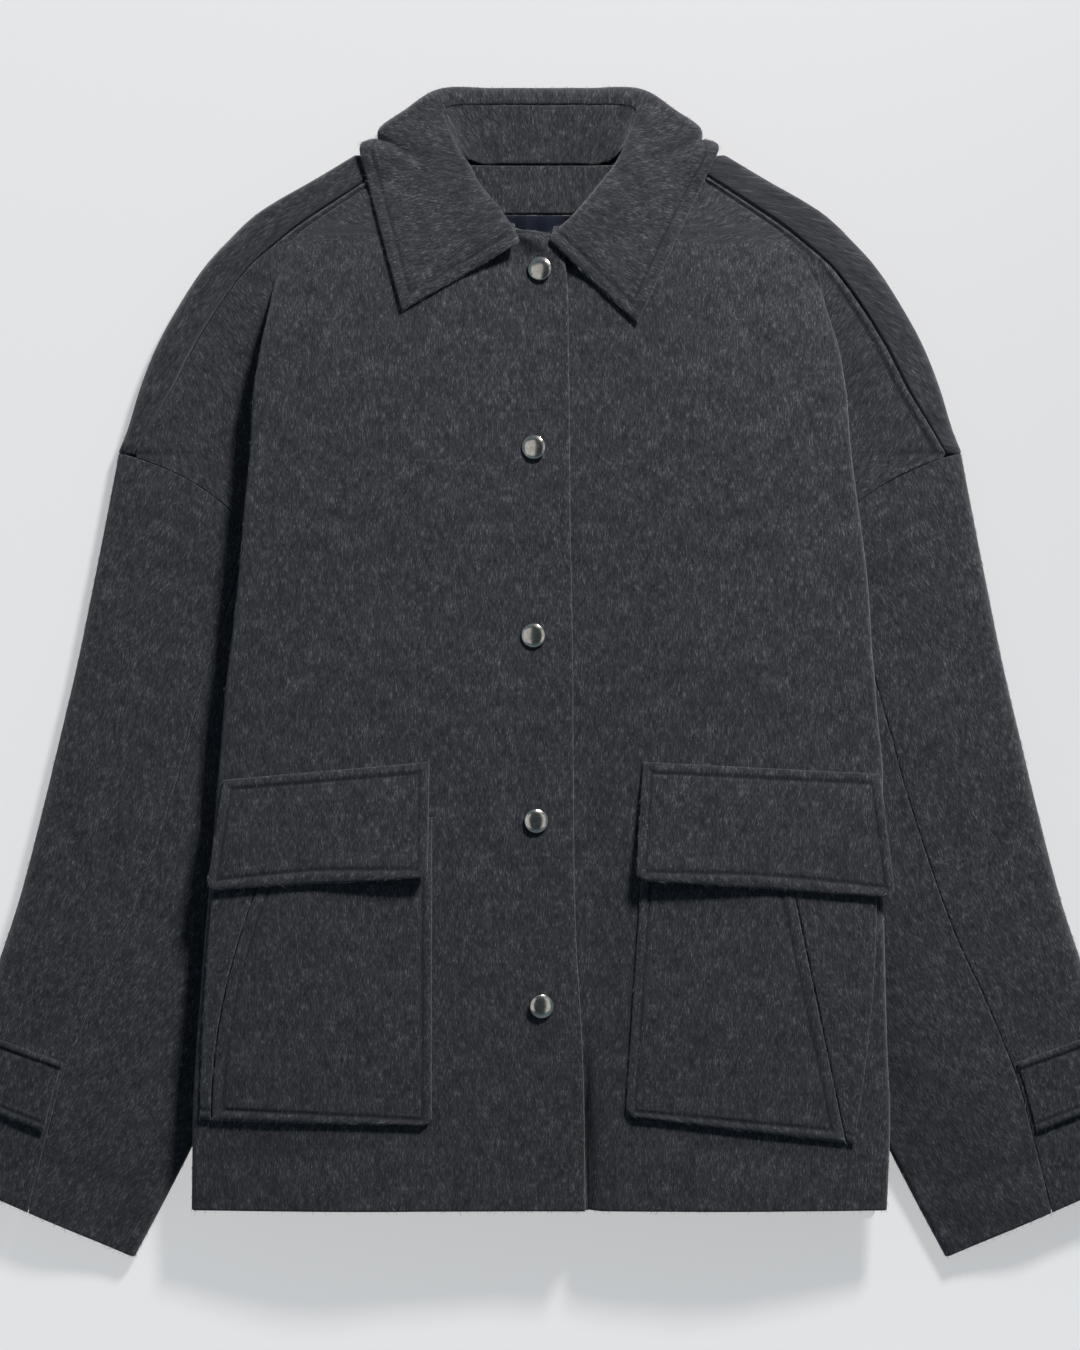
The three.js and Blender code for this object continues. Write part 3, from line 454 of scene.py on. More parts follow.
class Edge(Enum):
    """The four edges of a grid of cloth."""

    INNER = "first column"
    OUTER = "last column"
    BOTTOM = "first row"
    TOP = "last row"


@dataclass(frozen=True)
class Topstitch:
    """A line of stitches sunk in the cloth beside one of its edges.

    reach limits it to a stretch of Y in millimetres above the hem.
    """

    edge: Edge
    inset: float
    depth: float = 1.0
    width: float = 1.05
    puff: float = 0.75
    reach: tuple[float, float] = (-FAR, FAR)


def spread(stops: Sequence[float], step: float, fine: float = 0.0) -> Array:
    """Values from the first stop to the last, no further apart than a step.

    Args:
        stops: Values that are kept.
        step: Largest distance between two values.
        fine: Where it is above nought, both ends get extra values this far apart.

    Returns:
        The values in order.
    """
    values: list[float] = []
    for start, end in zip(stops[:-1], stops[1:]):
        count = max(1, math.ceil((end - start) / step))
        values.extend(np.linspace(start, end, count, endpoint=False))
    values.append(stops[-1])
    if fine > 0.0:
        low, high = stops[0], stops[-1]
        rim = [fine * share for share in RIM_SHARES]
        inside = [value for value in values if low + RIM_WIDTH * fine < value < high - RIM_WIDTH * fine]
        values = [low, *(low + r for r in rim), *inside, *(high - r for r in reversed(rim)), high]
    return np.array(values)


def graded(length: float, margin: float, fine: float, coarse: float) -> Array:
    """Distances along a length that lie close together near both ends.

    Args:
        length: The whole length.
        margin: How far from an end they lie close together.
        fine: Distance between two of them there.
        coarse: Largest distance between two in the middle.

    Returns:
        The distances in order.
    """
    rim = fine * np.array(EDGE_SHARES)
    near = np.concatenate([rim, np.arange(fine, margin - fine / 2, fine)])
    count = max(2, math.ceil((length - 2 * margin) / coarse))
    middle = np.linspace(margin, length - margin, count + 1)
    return np.concatenate([near, middle, length - near[::-1]])


def turned(centre: tuple[float, float], radius: float, start: float, end: float, steps: int) -> Array:
    """Points round an arc in the plane of a row, after its first one.

    Args:
        centre: Its centre's x and z.
        radius: Its radius.
        start: Angle at which it starts, in degrees.
        end: Angle at which it ends, in degrees.
        steps: Number of points.

    Returns:
        The x and z of each point.
    """
    angle = np.radians(np.linspace(start, end, steps + 1)[1:])
    return np.stack([centre[0] + radius * np.cos(angle), centre[1] + radius * np.sin(angle)], axis=-1)


def straight(
    start: tuple[float, float],
    end: tuple[float, float],
    steps: int,
    bend: Callable[[Array], Array] = lambda t: t,
) -> Array:
    """Points from start to end in the plane of a row, after the first one.

    Args:
        start: First x and z.
        end: Last x and z.
        steps: Number of points.
        bend: How the height follows the share of the way.

    Returns:
        The x and z of each point.
    """
    t = np.linspace(0.0, 1.0, steps + 1)[1:]
    return np.stack([mix(start[0], end[0], t), mix(start[1], end[1], bend(t))], axis=-1)


def unfolded(row: Array, flat: Callable[[Array], Array], across: float, up: float) -> Array:
    """A folded row spread along a smooth one, where the pleat fades.

    Args:
        row: x and z of the folded row.
        flat: Gives the x and z of the smooth row at a share of its length.
        across: How much of the fold x keeps.
        up: How much of the fold z keeps.

    Returns:
        x and z of the row.
    """
    if across >= 1.0:
        return row
    steps = np.hypot(*np.diff(row, axis=0).T)
    share = np.concatenate([[0.0], np.cumsum(steps)]) / steps.sum()
    return mix(flat(share), row, np.array([across, up]))


@dataclass(frozen=True)
class Panels:
    """Rows of the fronts and the back, from hem to shoulder."""

    seam_width: float = 4.5
    seam_above: float = 10.3
    seam_below: float = 7.4
    last_seam_row: float = 356.0
    underarm: float = 371.0
    underarm_clearance: float = 2.4
    armhole_end: float = 498.9
    cap_end: float = 505.0
    shoulder_start: float = 505.9
    shoulder_end: float = 704.0
    top_steps: int = 66
    fold_steps: int = 8
    under_steps: int = 8
    crease_steps: int = 5
    arm_steps: int = 32
    back_steps: int = 22
    turn_steps: int = 9
    seam_steps: int = 6
    edge_width: float = 2.0
    neck_rows: tuple[float, float, float] = (640.0, 650.0, 657.0)
    hem_rows: tuple[float, ...] = (0.0, 0.4, 1.0, 2.0, 3.2)
    hem_clear: float = 4.0
    shoulder_rows: tuple[float, ...] = (2.8, 1.6, 0.8, 0.3)
    shoulder_clear: float = 3.2
    cap_samples: int = 201
    cleared_share: float = 0.15
    top_rim: tuple[float, ...] = (0.0, 0.0014, 0.0036, 0.0068, 0.0115)
    top_from: float = 0.02

    def rows(self, step: float) -> Array:
        """Heights of the rows, closer together at the ends."""
        seam_stops = (0.0, self.last_seam_row, self.underarm)
        shoulder_stops = (self.armhole_end, self.cap_end, self.shoulder_start, self.neck_rows[0])
        body = spread((*seam_stops, *shoulder_stops), step)
        body = np.concatenate([self.hem_rows, body[body > self.hem_clear]])
        top = spread((*self.neck_rows, self.shoulder_end), step / 2)
        rim = self.shoulder_end - np.array(self.shoulder_rows)
        top = top[top < self.shoulder_end - self.shoulder_clear]
        return np.concatenate([body[:-1], top, rim, [self.shoulder_end]])

    def arm_end(self, side: Side, y: float) -> tuple[float, float, float]:
        """Where a row ends at the side seam or the armhole.

        Args:
            side: The half of the jacket.
            y: Height above the hem.

        Returns:
            The distance from the middle, and the heights of the front's and the back's centres.
        """
        u = np.linspace(0.0, 1.0, self.cap_samples)
        held = np.maximum(u, SLEEVE.at("edge", 0.0) / ARM.plan(0.0, 0.5)[2])
        x, up, _ = ARM.plan(0.0, u)
        x = x - self.underarm_clearance * clamp(1.0 - u / self.cleared_share)
        above = ARM.point(side, 0.0, held, 1.0)[:, 2]
        below = ARM.point(side, 0.0, held, -1.0)[:, 2]
        crease = side.edge.at("crease", min(y, self.last_seam_row))
        seam = (crease + self.seam_width, self.seam_above, self.seam_below)
        hole = (np.interp(y, up, x), np.interp(y, up, above), np.interp(y, up, below))
        share = clamp((y - self.last_seam_row) / (self.underarm - self.last_seam_row))
        return tuple(float(mix(a, b, share)) for a, b in zip(seam, hole))

    def front_row(self, side: Side, y: float) -> Array:
        """One row of a front, over the top, round the side fold, in to the crease and out again."""
        limit = float(side.edge.at("fold", y)) - FORM.fold_radius
        crease_x = float(side.edge.at("crease", y)) + FORM.crease_radius
        crease_z = float(HEIGHTS.at("crease", y))
        inner = FORM.inner(side, y)
        shares = np.concatenate([self.top_rim, np.linspace(self.top_from, 1.0, self.top_steps)])
        x = mix(inner, limit, shares)
        top = np.stack([x, FORM.height(side, x, y)], axis=-1)
        fold_top = float(top[-1, 1])
        under = fold_top - 2 * FORM.fold_radius
        radius = FORM.crease_radius
        end_x, above, _ = self.arm_end(side, y)
        gap = float(mix(ARMHOLE_GAP, SEAM_GAP / 2, ramp(self.armhole_end, self.shoulder_start, y)))
        end_x = min(end_x, float(SHOULDER.at("seam", y))) - gap
        shoulder = clamp((y - self.armhole_end) / (self.shoulder_start - self.armhole_end))
        end_z = float(mix(above, SHOULDER.at("height", y), shoulder))
        closer = 1 - (1 - np.linspace(0.0, 1.0, self.arm_steps + 1)[1:, None]) ** 2
        seam_side = mix(np.array([crease_x, crease_z - radius]), np.array([end_x, end_z]), closer)
        row = np.concatenate(
            [
                top,
                turned((limit, fold_top - FORM.fold_radius), FORM.fold_radius, 90, -90, self.fold_steps),
                straight((limit, under), (crease_x, crease_z + radius), self.under_steps, lambda t: t * t),
                turned((crease_x, crease_z), radius, 90, 270, self.crease_steps),
                seam_side,
            ]
        )
        pleat = float(FORM.pleat(y))

        def flat(share: Array) -> Array:
            """The smooth row without its pleat."""
            across = mix(inner, end_x, share)
            return np.stack([across, FORM.height(side, across, y)], axis=-1)

        row = unfolded(row, flat, pleat, pleat)
        return np.stack([row[:, 0], np.full(len(row), y), row[:, 1]], axis=-1)

    def back_row(self, side: Side, y: float, shoulder: bool) -> Array:
        """One side of a row of the back, from the middle out.

        Args:
            side: The half of the jacket.
            y: Height above the hem.
            shoulder: Whether the row goes round the shoulder's edge.

        Returns:
            The points of the row.
        """
        floor = float(FORM.floor(y))
        fold_radius, radius = FORM.back_fold_radius, FORM.crease_radius
        fold = float(side.edge.at("fold", y)) - FORM.back_fold_inset - fold_radius
        crease_x = float(side.edge.at("crease", y)) + radius
        over = floor + 2 * fold_radius
        start = (crease_x, over + 2 * radius)
        pleat = float(1 - ramp(*FORM.back_pleat, y))
        up = float(clamp(FORM.pleat_opens * pleat))
        parts = [
            np.array([[0.0, floor]]),
            straight((0.0, floor), (fold, floor), self.back_steps),
            turned((fold, floor + fold_radius), fold_radius, -90, 90, self.fold_steps),
            straight((fold, over), (crease_x, over), self.under_steps),
            turned((crease_x, over + radius), radius, -90, -270, self.crease_steps),
        ]
        if shoulder:
            seam = float(SHOULDER.at("seam", y)) + SEAM_GAP / 2
            height = float(SHOULDER.at("height", y))
            turn_radius = (height - floor) / 2
            end_x = float(SHOULDER.at("edge", y)) - turn_radius
            inset = 0.0
            settle = FORM.arm_settle
            parts.append(straight(start, (end_x, floor), self.arm_steps, lambda t: smooth(settle * t)))
            tail = [
                turned((end_x, floor + turn_radius), turn_radius, -90, 90, self.turn_steps),
                straight((end_x, height), (seam, height), self.seam_steps),
            ]
        else:
            end_x, _, below = self.arm_end(side, y)
            end_x -= ARMHOLE_GAP
            inset = self.edge_width
            rim_x = end_x - inset
            parts.append(straight(start, (rim_x, below), self.arm_steps, smooth))
            tail = [straight((rim_x, below), (end_x, below), self.turn_steps + self.seam_steps)]
        row = unfolded(
            np.concatenate(parts),
            lambda share: np.stack([share * (end_x - inset), np.full(len(share), floor)], axis=-1),
            pleat,
            up,
        )
        row = np.concatenate([row, *tail])
        return np.stack([row[:, 0], np.full(len(row), y), row[:, 1]], axis=-1)

    def back_rows(self, side: Side, heights: Array) -> Array:
        """All rows of one side of the back, which widens to the shoulder along the sleeve's cap."""
        rows = []
        last = self.back_row(side, self.armhole_end, False)
        first = self.back_row(side, self.shoulder_start, True)
        widening = first[:, 0].max() - last[-1, 0]
        for y in heights:
            if y <= self.armhole_end:
                rows.append(self.back_row(side, y, False))
            elif y >= self.shoulder_start:
                rows.append(self.back_row(side, y, True))
            else:
                share = (y - self.armhole_end) / (self.shoulder_start - self.armhole_end)
                reach = (self.arm_end(side, y)[0] - ARMHOLE_GAP - last[-1, 0]) / widening
                rows.append(mix(last, first, np.array([min(reach, 1.0), share, share])))
        return np.array(rows)


PANELS = Panels()


@dataclass
class Cloth:
    """A closed shell of cloth round a grid of centre points.

    The rows of points run up the piece and its columns run outwards. mirrored says that the piece
    lies on the left, where the columns run the other way in the frame.
    """

    name: str
    points: Array
    mirrored: bool = False
    thickness: float = WALL
    stitches: tuple[Topstitch, ...] = ()
    grooves: Array | None = None
    nap_turn: float = 0.0
    nap_over: Array | float = 1.0
    nap_under: float = 0.1
    nap_at_edge: float = 2.5
    shows_below: float = 0.4
    shade_spread: float = 1.1
    softness: float = 0.15
    crossing: float = 0.2
    least_stitches: int = 3
    normals: Array = field(init=False)
    upper: Array = field(init=False)
    lower: Array = field(init=False)
    # Mask of the painted shade along the stitch grooves.
    sunk: Array = field(init=False)

    def __post_init__(self) -> None:
        """Works out the normals and the relief of the stitched edges."""
        self.normals = self._normals(self.points)
        relief = self._relief()
        if self.grooves is not None:
            relief = relief + self.grooves
        half = self.thickness / 2 * self._rounding()
        self.upper = self.points + self.normals * (half + relief)[..., None]
        self.lower = self.points - self.normals * (half - self.shows_below * relief)[..., None]

    def _normals(self, points: Array) -> Array:
        """Unit normals of the grid, on the side that faces up where the piece lies flat."""
        across = np.gradient(points, axis=1)
        along = np.gradient(points, axis=0)
        normal = np.cross(across, along)
        return unit(-normal if self.mirrored else normal)

    def distance(self, edge: Edge) -> Array:
        """Distance of every point from an edge, measured along the cloth."""
        axis = 1 if edge in (Edge.INNER, Edge.OUTER) else 0
        steps = np.linalg.norm(np.diff(self.points, axis=axis), axis=-1)
        start = np.zeros_like(np.take(steps, [0], axis=axis))
        run = np.cumsum(np.concatenate([start, steps], axis=axis), axis=axis)
        if edge in (Edge.INNER, Edge.BOTTOM):
            return run
        return np.take(run, [-1], axis=axis) - run

    def from_rim(self) -> Array:
        """Distance of every point from the nearest edge."""
        return np.minimum.reduce([self.distance(edge) for edge in Edge])

    def _rounding(self) -> Array:
        """Share of the thickness at every point, which rounds the edges of the cloth."""
        radius = self.thickness / 2 + self.softness
        return np.sqrt(clamp(1 - (1 - clamp(self.from_rim() / radius)) ** 2))

    def _inside(self, stitch: Topstitch) -> Array:
        """How far every point lies inside a line of stitches."""
        y = self.points[..., 1]
        low, high = stitch.reach
        within = (y >= low) & (y <= high)
        return np.where(within, self.distance(stitch.edge) - stitch.inset, FAR)

    def _relief(self) -> Array:
        """Height that the sunk stitches and the puffed edge beside them add; it also fills sunk, the mask
        of the painted shade in their grooves.
        """
        self.sunk = np.zeros(self.points.shape[:2])
        if not self.stitches:
            return np.zeros(self.points.shape[:2])
        inside = np.array([self._inside(stitch) for stitch in self.stitches])
        nearest = np.argmin(inside, axis=0)
        gap = inside.min(axis=0)
        value = np.zeros_like(gap)
        for k, stitch in enumerate(self.stitches):
            groove = -stitch.depth * np.exp(-((gap / stitch.width) ** 2))
            puff = stitch.puff * np.sin(math.pi * clamp(-gap / stitch.inset))
            value = np.where(nearest == k, groove + puff, value)
            line = np.exp(-((gap / (stitch.width * self.shade_spread)) ** 2)) * clamp(stitch.depth)
            self.sunk = np.where(nearest == k, line, self.sunk)
        return value

    def thread_lines(self) -> list[Array]:
        """The paths of the sunk stitches on the upper face.

        Returns:
            One array of points in millimetres for each line.
        """
        lines = []
        for stitch in self.stitches:
            inside = self._inside(stitch)
            others = [self._inside(other) for other in self.stitches if other is not stitch]
            clear = np.minimum.reduce(others) if others else np.full(inside.shape, FAR)
            sideways = stitch.edge in (Edge.INNER, Edge.OUTER)
            table, reach, place = inside, clear, self.upper
            if not sideways:
                table, reach, place = inside.T, clear.T, self.upper.transpose(1, 0, 2)
            if stitch.edge in (Edge.OUTER, Edge.TOP):
                table, reach, place = table[:, ::-1], reach[:, ::-1], place[:, ::-1]
            line = []
            for gaps, room, spots in zip(table, reach, place):
                if gaps[0] == FAR or gaps[-1] < 0.0:
                    continue
                j = int(np.argmax(gaps >= 0.0))
                if j == 0:
                    continue
                share = -gaps[j - 1] / (gaps[j] - gaps[j - 1])
                if mix(room[j - 1], room[j], share) < -self.crossing:
                    continue
                line.append(mix(spots[j - 1], spots[j], share))
            if len(line) > self.least_stitches:
                lines.append(np.array(line))
        return lines

    def build(self, finish: bpy.types.Material) -> bpy.types.Object:
        """The closed shell as a mesh, with its UV map and the direction of its nap.

        Args:
            finish: The material.

        Returns:
            The object.
        """
        rows, columns = self.points.shape[:2]
        number = np.arange(rows * columns).reshape(rows, columns)
        rim = np.zeros((rows, columns), dtype=bool)
        rim[[0, -1], :] = True
        rim[:, [0, -1]] = True
        lower = np.full((rows, columns), -1)
        lower[~rim] = rows * columns + np.arange(int((~rim).sum()))
        lower[rim] = number[rim]
        spots = np.concatenate([self.upper.reshape(-1, 3), self.lower[~rim]])
        top = self._quads(number)
        base = self._quads(lower)[:, ::-1]
        faces = np.concatenate([top, base])
        if self.mirrored:
            faces = faces[:, ::-1]
        mesh = bpy.data.meshes.new(self.name)
        mesh.vertices.add(len(spots))
        mesh.vertices.foreach_set("co", world(spots).ravel())
        mesh.loops.add(faces.size)
        mesh.loops.foreach_set("vertex_index", faces.ravel())
        mesh.polygons.add(len(faces))
        mesh.polygons.foreach_set("loop_start", np.arange(0, faces.size, 4))
        mesh.polygons.foreach_set("use_smooth", np.ones(len(faces), dtype=bool))
        mesh.update(calc_edges=True)
        self._write_cloth_map(mesh, rim, faces)
        mesh.validate()
        mesh.materials.append(finish)
        piece = bpy.data.objects.new(self.name, mesh)
        bpy.context.scene.collection.objects.link(piece)
        return piece

    @staticmethod
    def _quads(number: Array) -> Array:
        """Faces of a grid of vertex numbers."""
        corners = (number[:-1, :-1], number[:-1, 1:], number[1:, 1:], number[1:, :-1])
        return np.stack([corner.ravel() for corner in corners], axis=-1)

    def _write_cloth_map(self, mesh: bpy.types.Mesh, rim: Array, faces: Array) -> None:
        """Writes the UV map, the nap's direction, how much nap each point has and the mask of the painted
        shade in the stitch grooves.

        Args:
            mesh: The mesh.
            rim: Which points of the grid lie on its edge.
            faces: Vertex numbers of every face.
        """
        u = self.distance(Edge.INNER)
        v = np.broadcast_to(self.distance(Edge.BOTTOM).mean(axis=1, keepdims=True), u.shape)
        turn = math.radians(self.nap_turn)
        cos, sin = math.cos(turn), math.sin(turn)
        flat = np.stack([u * cos + v * sin, v * cos - u * sin], axis=-1)
        flat = np.concatenate([flat.reshape(-1, 2), flat[~rim] + UNDERSIDE_MAP]) * MM
        layer = mesh.uv_layers.new(name="UVMap")
        layer.data.foreach_set("uv", flat[faces.ravel()].ravel())
        along, across = (unit(np.gradient(self.points, axis=axis)) for axis in (0, 1))
        nap = -along * cos + across * sin
        nap = np.concatenate([nap.reshape(-1, 3), nap[~rim]])
        direction = mesh.attributes.new("nap", "FLOAT_VECTOR", "POINT")
        direction.data.foreach_set("vector", nap.ravel())
        cover = self.nap_over * (1.0 + self.nap_at_edge * np.exp(-self.from_rim() / WALL))
        cover = np.concatenate([cover.ravel(), np.full(int((~rim).sum()), self.nap_under)])
        # The sunk mask carries the painted shade of the stitch grooves into the material.
        sunk = np.concatenate([self.sunk.ravel(), self.sunk[~rim]])
        for label, values in (("nap_share", cover), ("sunk", sunk)):
            share = mesh.attributes.new(label, "FLOAT", "POINT")
            share.data.foreach_set("value", values)


@dataclass(frozen=True)
class Fronts:
    """The two fronts, each one wall of cloth with its side pleat."""

    row_step: float = 4.4
    shoulder_welt: float = 6.4
    right_welt_from: float = 508.0
    left_welt_from: float = 646.0
    lap_gap: Fold = Fold((28.5, 135), (35.0, -85), -11.0, 4.3)
    corner_dip: tuple[float, float, float, float] = (13.0, 634.0, -4.2, 9.0)
    corner_curl: tuple[tuple[float, float], ...] = (
        (12, 652),
        (2, 646),
        (-8, 638),
        (-14, 628),
        (-18, 608),
        (-19, 580),
    )
    curl_height: float = 4.6
    curl_width: float = 5.2

    def shape(self, side: Side) -> Array:
        """Centre points of one front."""
        points = np.array([PANELS.front_row(side, y) for y in PANELS.rows(self.row_step)])
        x, y = points[..., 0], points[..., 1]
        on_top = np.arange(points.shape[1]) < PANELS.top_steps
        if side is RIGHT:
            points[..., 2] += on_top * self.lap_gap.height(x, y)
        else:
            cx, cy, lift, reach = self.corner_dip
            points[..., 2] += on_top * lift * np.exp(-((x - cx) ** 2 + (y - cy) ** 2) / reach**2)
            points[..., 2] += on_top * self.curl(x, y)
        return points

    def curl(self, x: Array, y: Array) -> Array:
        """Height of the rolled edge that runs round the upper front's top corner.

        Args:
            x: Distance outwards from the middle.
            y: Height above the hem.

        Returns:
            The height that it adds.
        """
        nearest = np.full(x.shape, np.inf)
        along = np.zeros(x.shape)
        stretches = list(zip(self.corner_curl[:-1], self.corner_curl[1:]))
        for k, (start, end) in enumerate(stretches):
            dx, dy = end[0] - start[0], end[1] - start[1]
            t = clamp(((x - start[0]) * dx + (y - start[1]) * dy) / (dx * dx + dy * dy))
            gap = np.hypot(x - start[0] - t * dx, y - start[1] - t * dy)
            along = np.where(gap < nearest, (k + t) / len(stretches), along)
            nearest = np.minimum(nearest, gap)
        fade = smooth(1.25 * (1 - along))
        return self.curl_height * fade * np.exp(-((nearest / self.curl_width) ** 2))

    def cloth(self, side: Side) -> Cloth:
        """One front as a piece of cloth."""
        start = self.right_welt_from if side is RIGHT else self.left_welt_from
        welt = Topstitch(Edge.OUTER, self.shoulder_welt, 1.0, 1.6, 0.9, (start, 700.0))
        return Cloth(
            f"{side.name}_front_panel",
            side.signed(self.shape(side)),
            mirrored=side is LEFT,
            stitches=(welt,),
            nap_at_edge=0.7,
        )


@dataclass(frozen=True)
class Back:
    """The back, flat on the surface, with its edge round the shoulders."""

    row_step: float = 7.0
    neck_from: float = 690.0
    neck_edge: float = 698.3
    neck_fade: tuple[float, float] = (46.0, 58.0)

    def cloth(self) -> Cloth:
        """The back as a piece of cloth."""
        heights = PANELS.rows(self.row_step)
        right = RIGHT.signed(PANELS.back_rows(RIGHT, heights))
        left = LEFT.signed(PANELS.back_rows(LEFT, heights))
        points = np.concatenate([left[:, :0:-1], right], axis=1)
        in_neck = 1 - ramp(*self.neck_fade, np.abs(points[..., 0]))
        low = points[..., 2] < FORM.floor(points[..., 1]) + HALF
        y = points[..., 1]
        span = PANELS.shoulder_end - self.neck_from
        pressed = self.neck_from + (y - self.neck_from) * (self.neck_edge - self.neck_from) / span
        points[..., 1] = np.where(low & (y > self.neck_from), mix(y, pressed, in_neck), y)
        return Cloth("back_panel", points, nap_over=0.02, nap_under=0.1)


@dataclass(frozen=True)
class Sleeves:
    """The two sleeves, each of an upper and an under panel."""

    sections: float = 10.0
    row_step: float = 0.075
    first: float = 0.0
    rim: tuple[float, ...] = (0.0, 0.004, 0.012, 0.028)
    rim_step: float = 0.022
    rim_end: float = 0.05
    panel_steps: int = 34
    turns: tuple[float, ...] = (75.0, 60.0, 45.0, 30.0, 15.0)
    calm_edge: float = 30.0
    underside_nap: float = 0.35
    ripples: tuple[Ripple, ...] = (
        Ripple(97, 63, 0.7, 0.45),
        Ripple(61, 118, 3.0, 0.3),
        Ripple(38, 84, 1.9, 0.14),
    )

    def columns(self, s: Array, panel: str) -> tuple[Array, Array]:
        """Shares of the width at which a panel has its columns.

        Args:
            s: Section numbers of the rows, as a column.
            panel: "upper" or "under".

        Returns:
            The shares, and the face that each column lies on.
        """
        width = ARM.plan(s, 0.5)[2]
        near = SLEEVE.at("edge", s) / width
        far = (SLEEVE.at("top", s) - FLOOR) / 2 / width
        gap = SEAM_GAP / 2 / width
        seam = SLEEVE.at("seam", s)
        turn = 1 - np.cos(np.radians(np.array(self.turns)))
        start = np.concatenate([self.rim, np.linspace(self.rim_end, 1.0, self.panel_steps)])
        end = 1 - start[::-1]
        ones = np.ones_like
        if panel == "under":
            shares = [
                mix(ARM.back_seam - gap, near, start),
                near * turn,
                near * 0.0,
                near * turn[::-1],
                mix(near, seam - gap, end),
            ]
            faces = [-ones(start), -ones(turn), [1.0], ones(turn), ones(end)]
        else:
            shares = [
                mix(seam + gap, 1 - far, start),
                1 - far * turn,
                1 - far * 0.0,
                1 - far * turn[::-1],
                mix(1 - far, ARM.back_seam + gap, end),
            ]
            faces = [ones(start), ones(turn), [1.0], -ones(turn), -ones(end)]
        return np.concatenate(shares, axis=1), np.concatenate(faces)

    def cloth(self, side: Side, panel: str) -> Cloth:
        """One panel of one sleeve as a piece of cloth."""
        s = spread((self.first, self.sections), self.row_step, self.rim_step)[::-1, None]
        u, over = self.columns(s, panel)
        points = ARM.point(side, s, u, over)
        x, y = side.sign * points[..., 0], points[..., 1]
        width = ARM.plan(s, 0.5)[2]
        inside = smooth(u * width / self.calm_edge) * smooth((1 - u) * width / self.calm_edge)
        wave = sum(ripple.at(x, y) for ripple in self.ripples)
        points[..., 2] += np.where(over > 0, wave * inside, 0.0)
        cover = np.where(over > 0, 1.0, self.underside_nap) * np.ones_like(u)
        return Cloth(
            f"{side.name}_sleeve_{panel}",
            side.signed(points),
            mirrored=side is LEFT,
            nap_over=cover,
            nap_under=0.0,
        )


@dataclass(frozen=True)
class CollarRow:
    """One section of the collar: its seam to the neck, its roll, its turn and the leaf's edge."""

    neck: tuple[float, float, float]
    roll: tuple[float, float, float]
    leaf: tuple[float, float]
    turn: tuple[float, float] | None = None


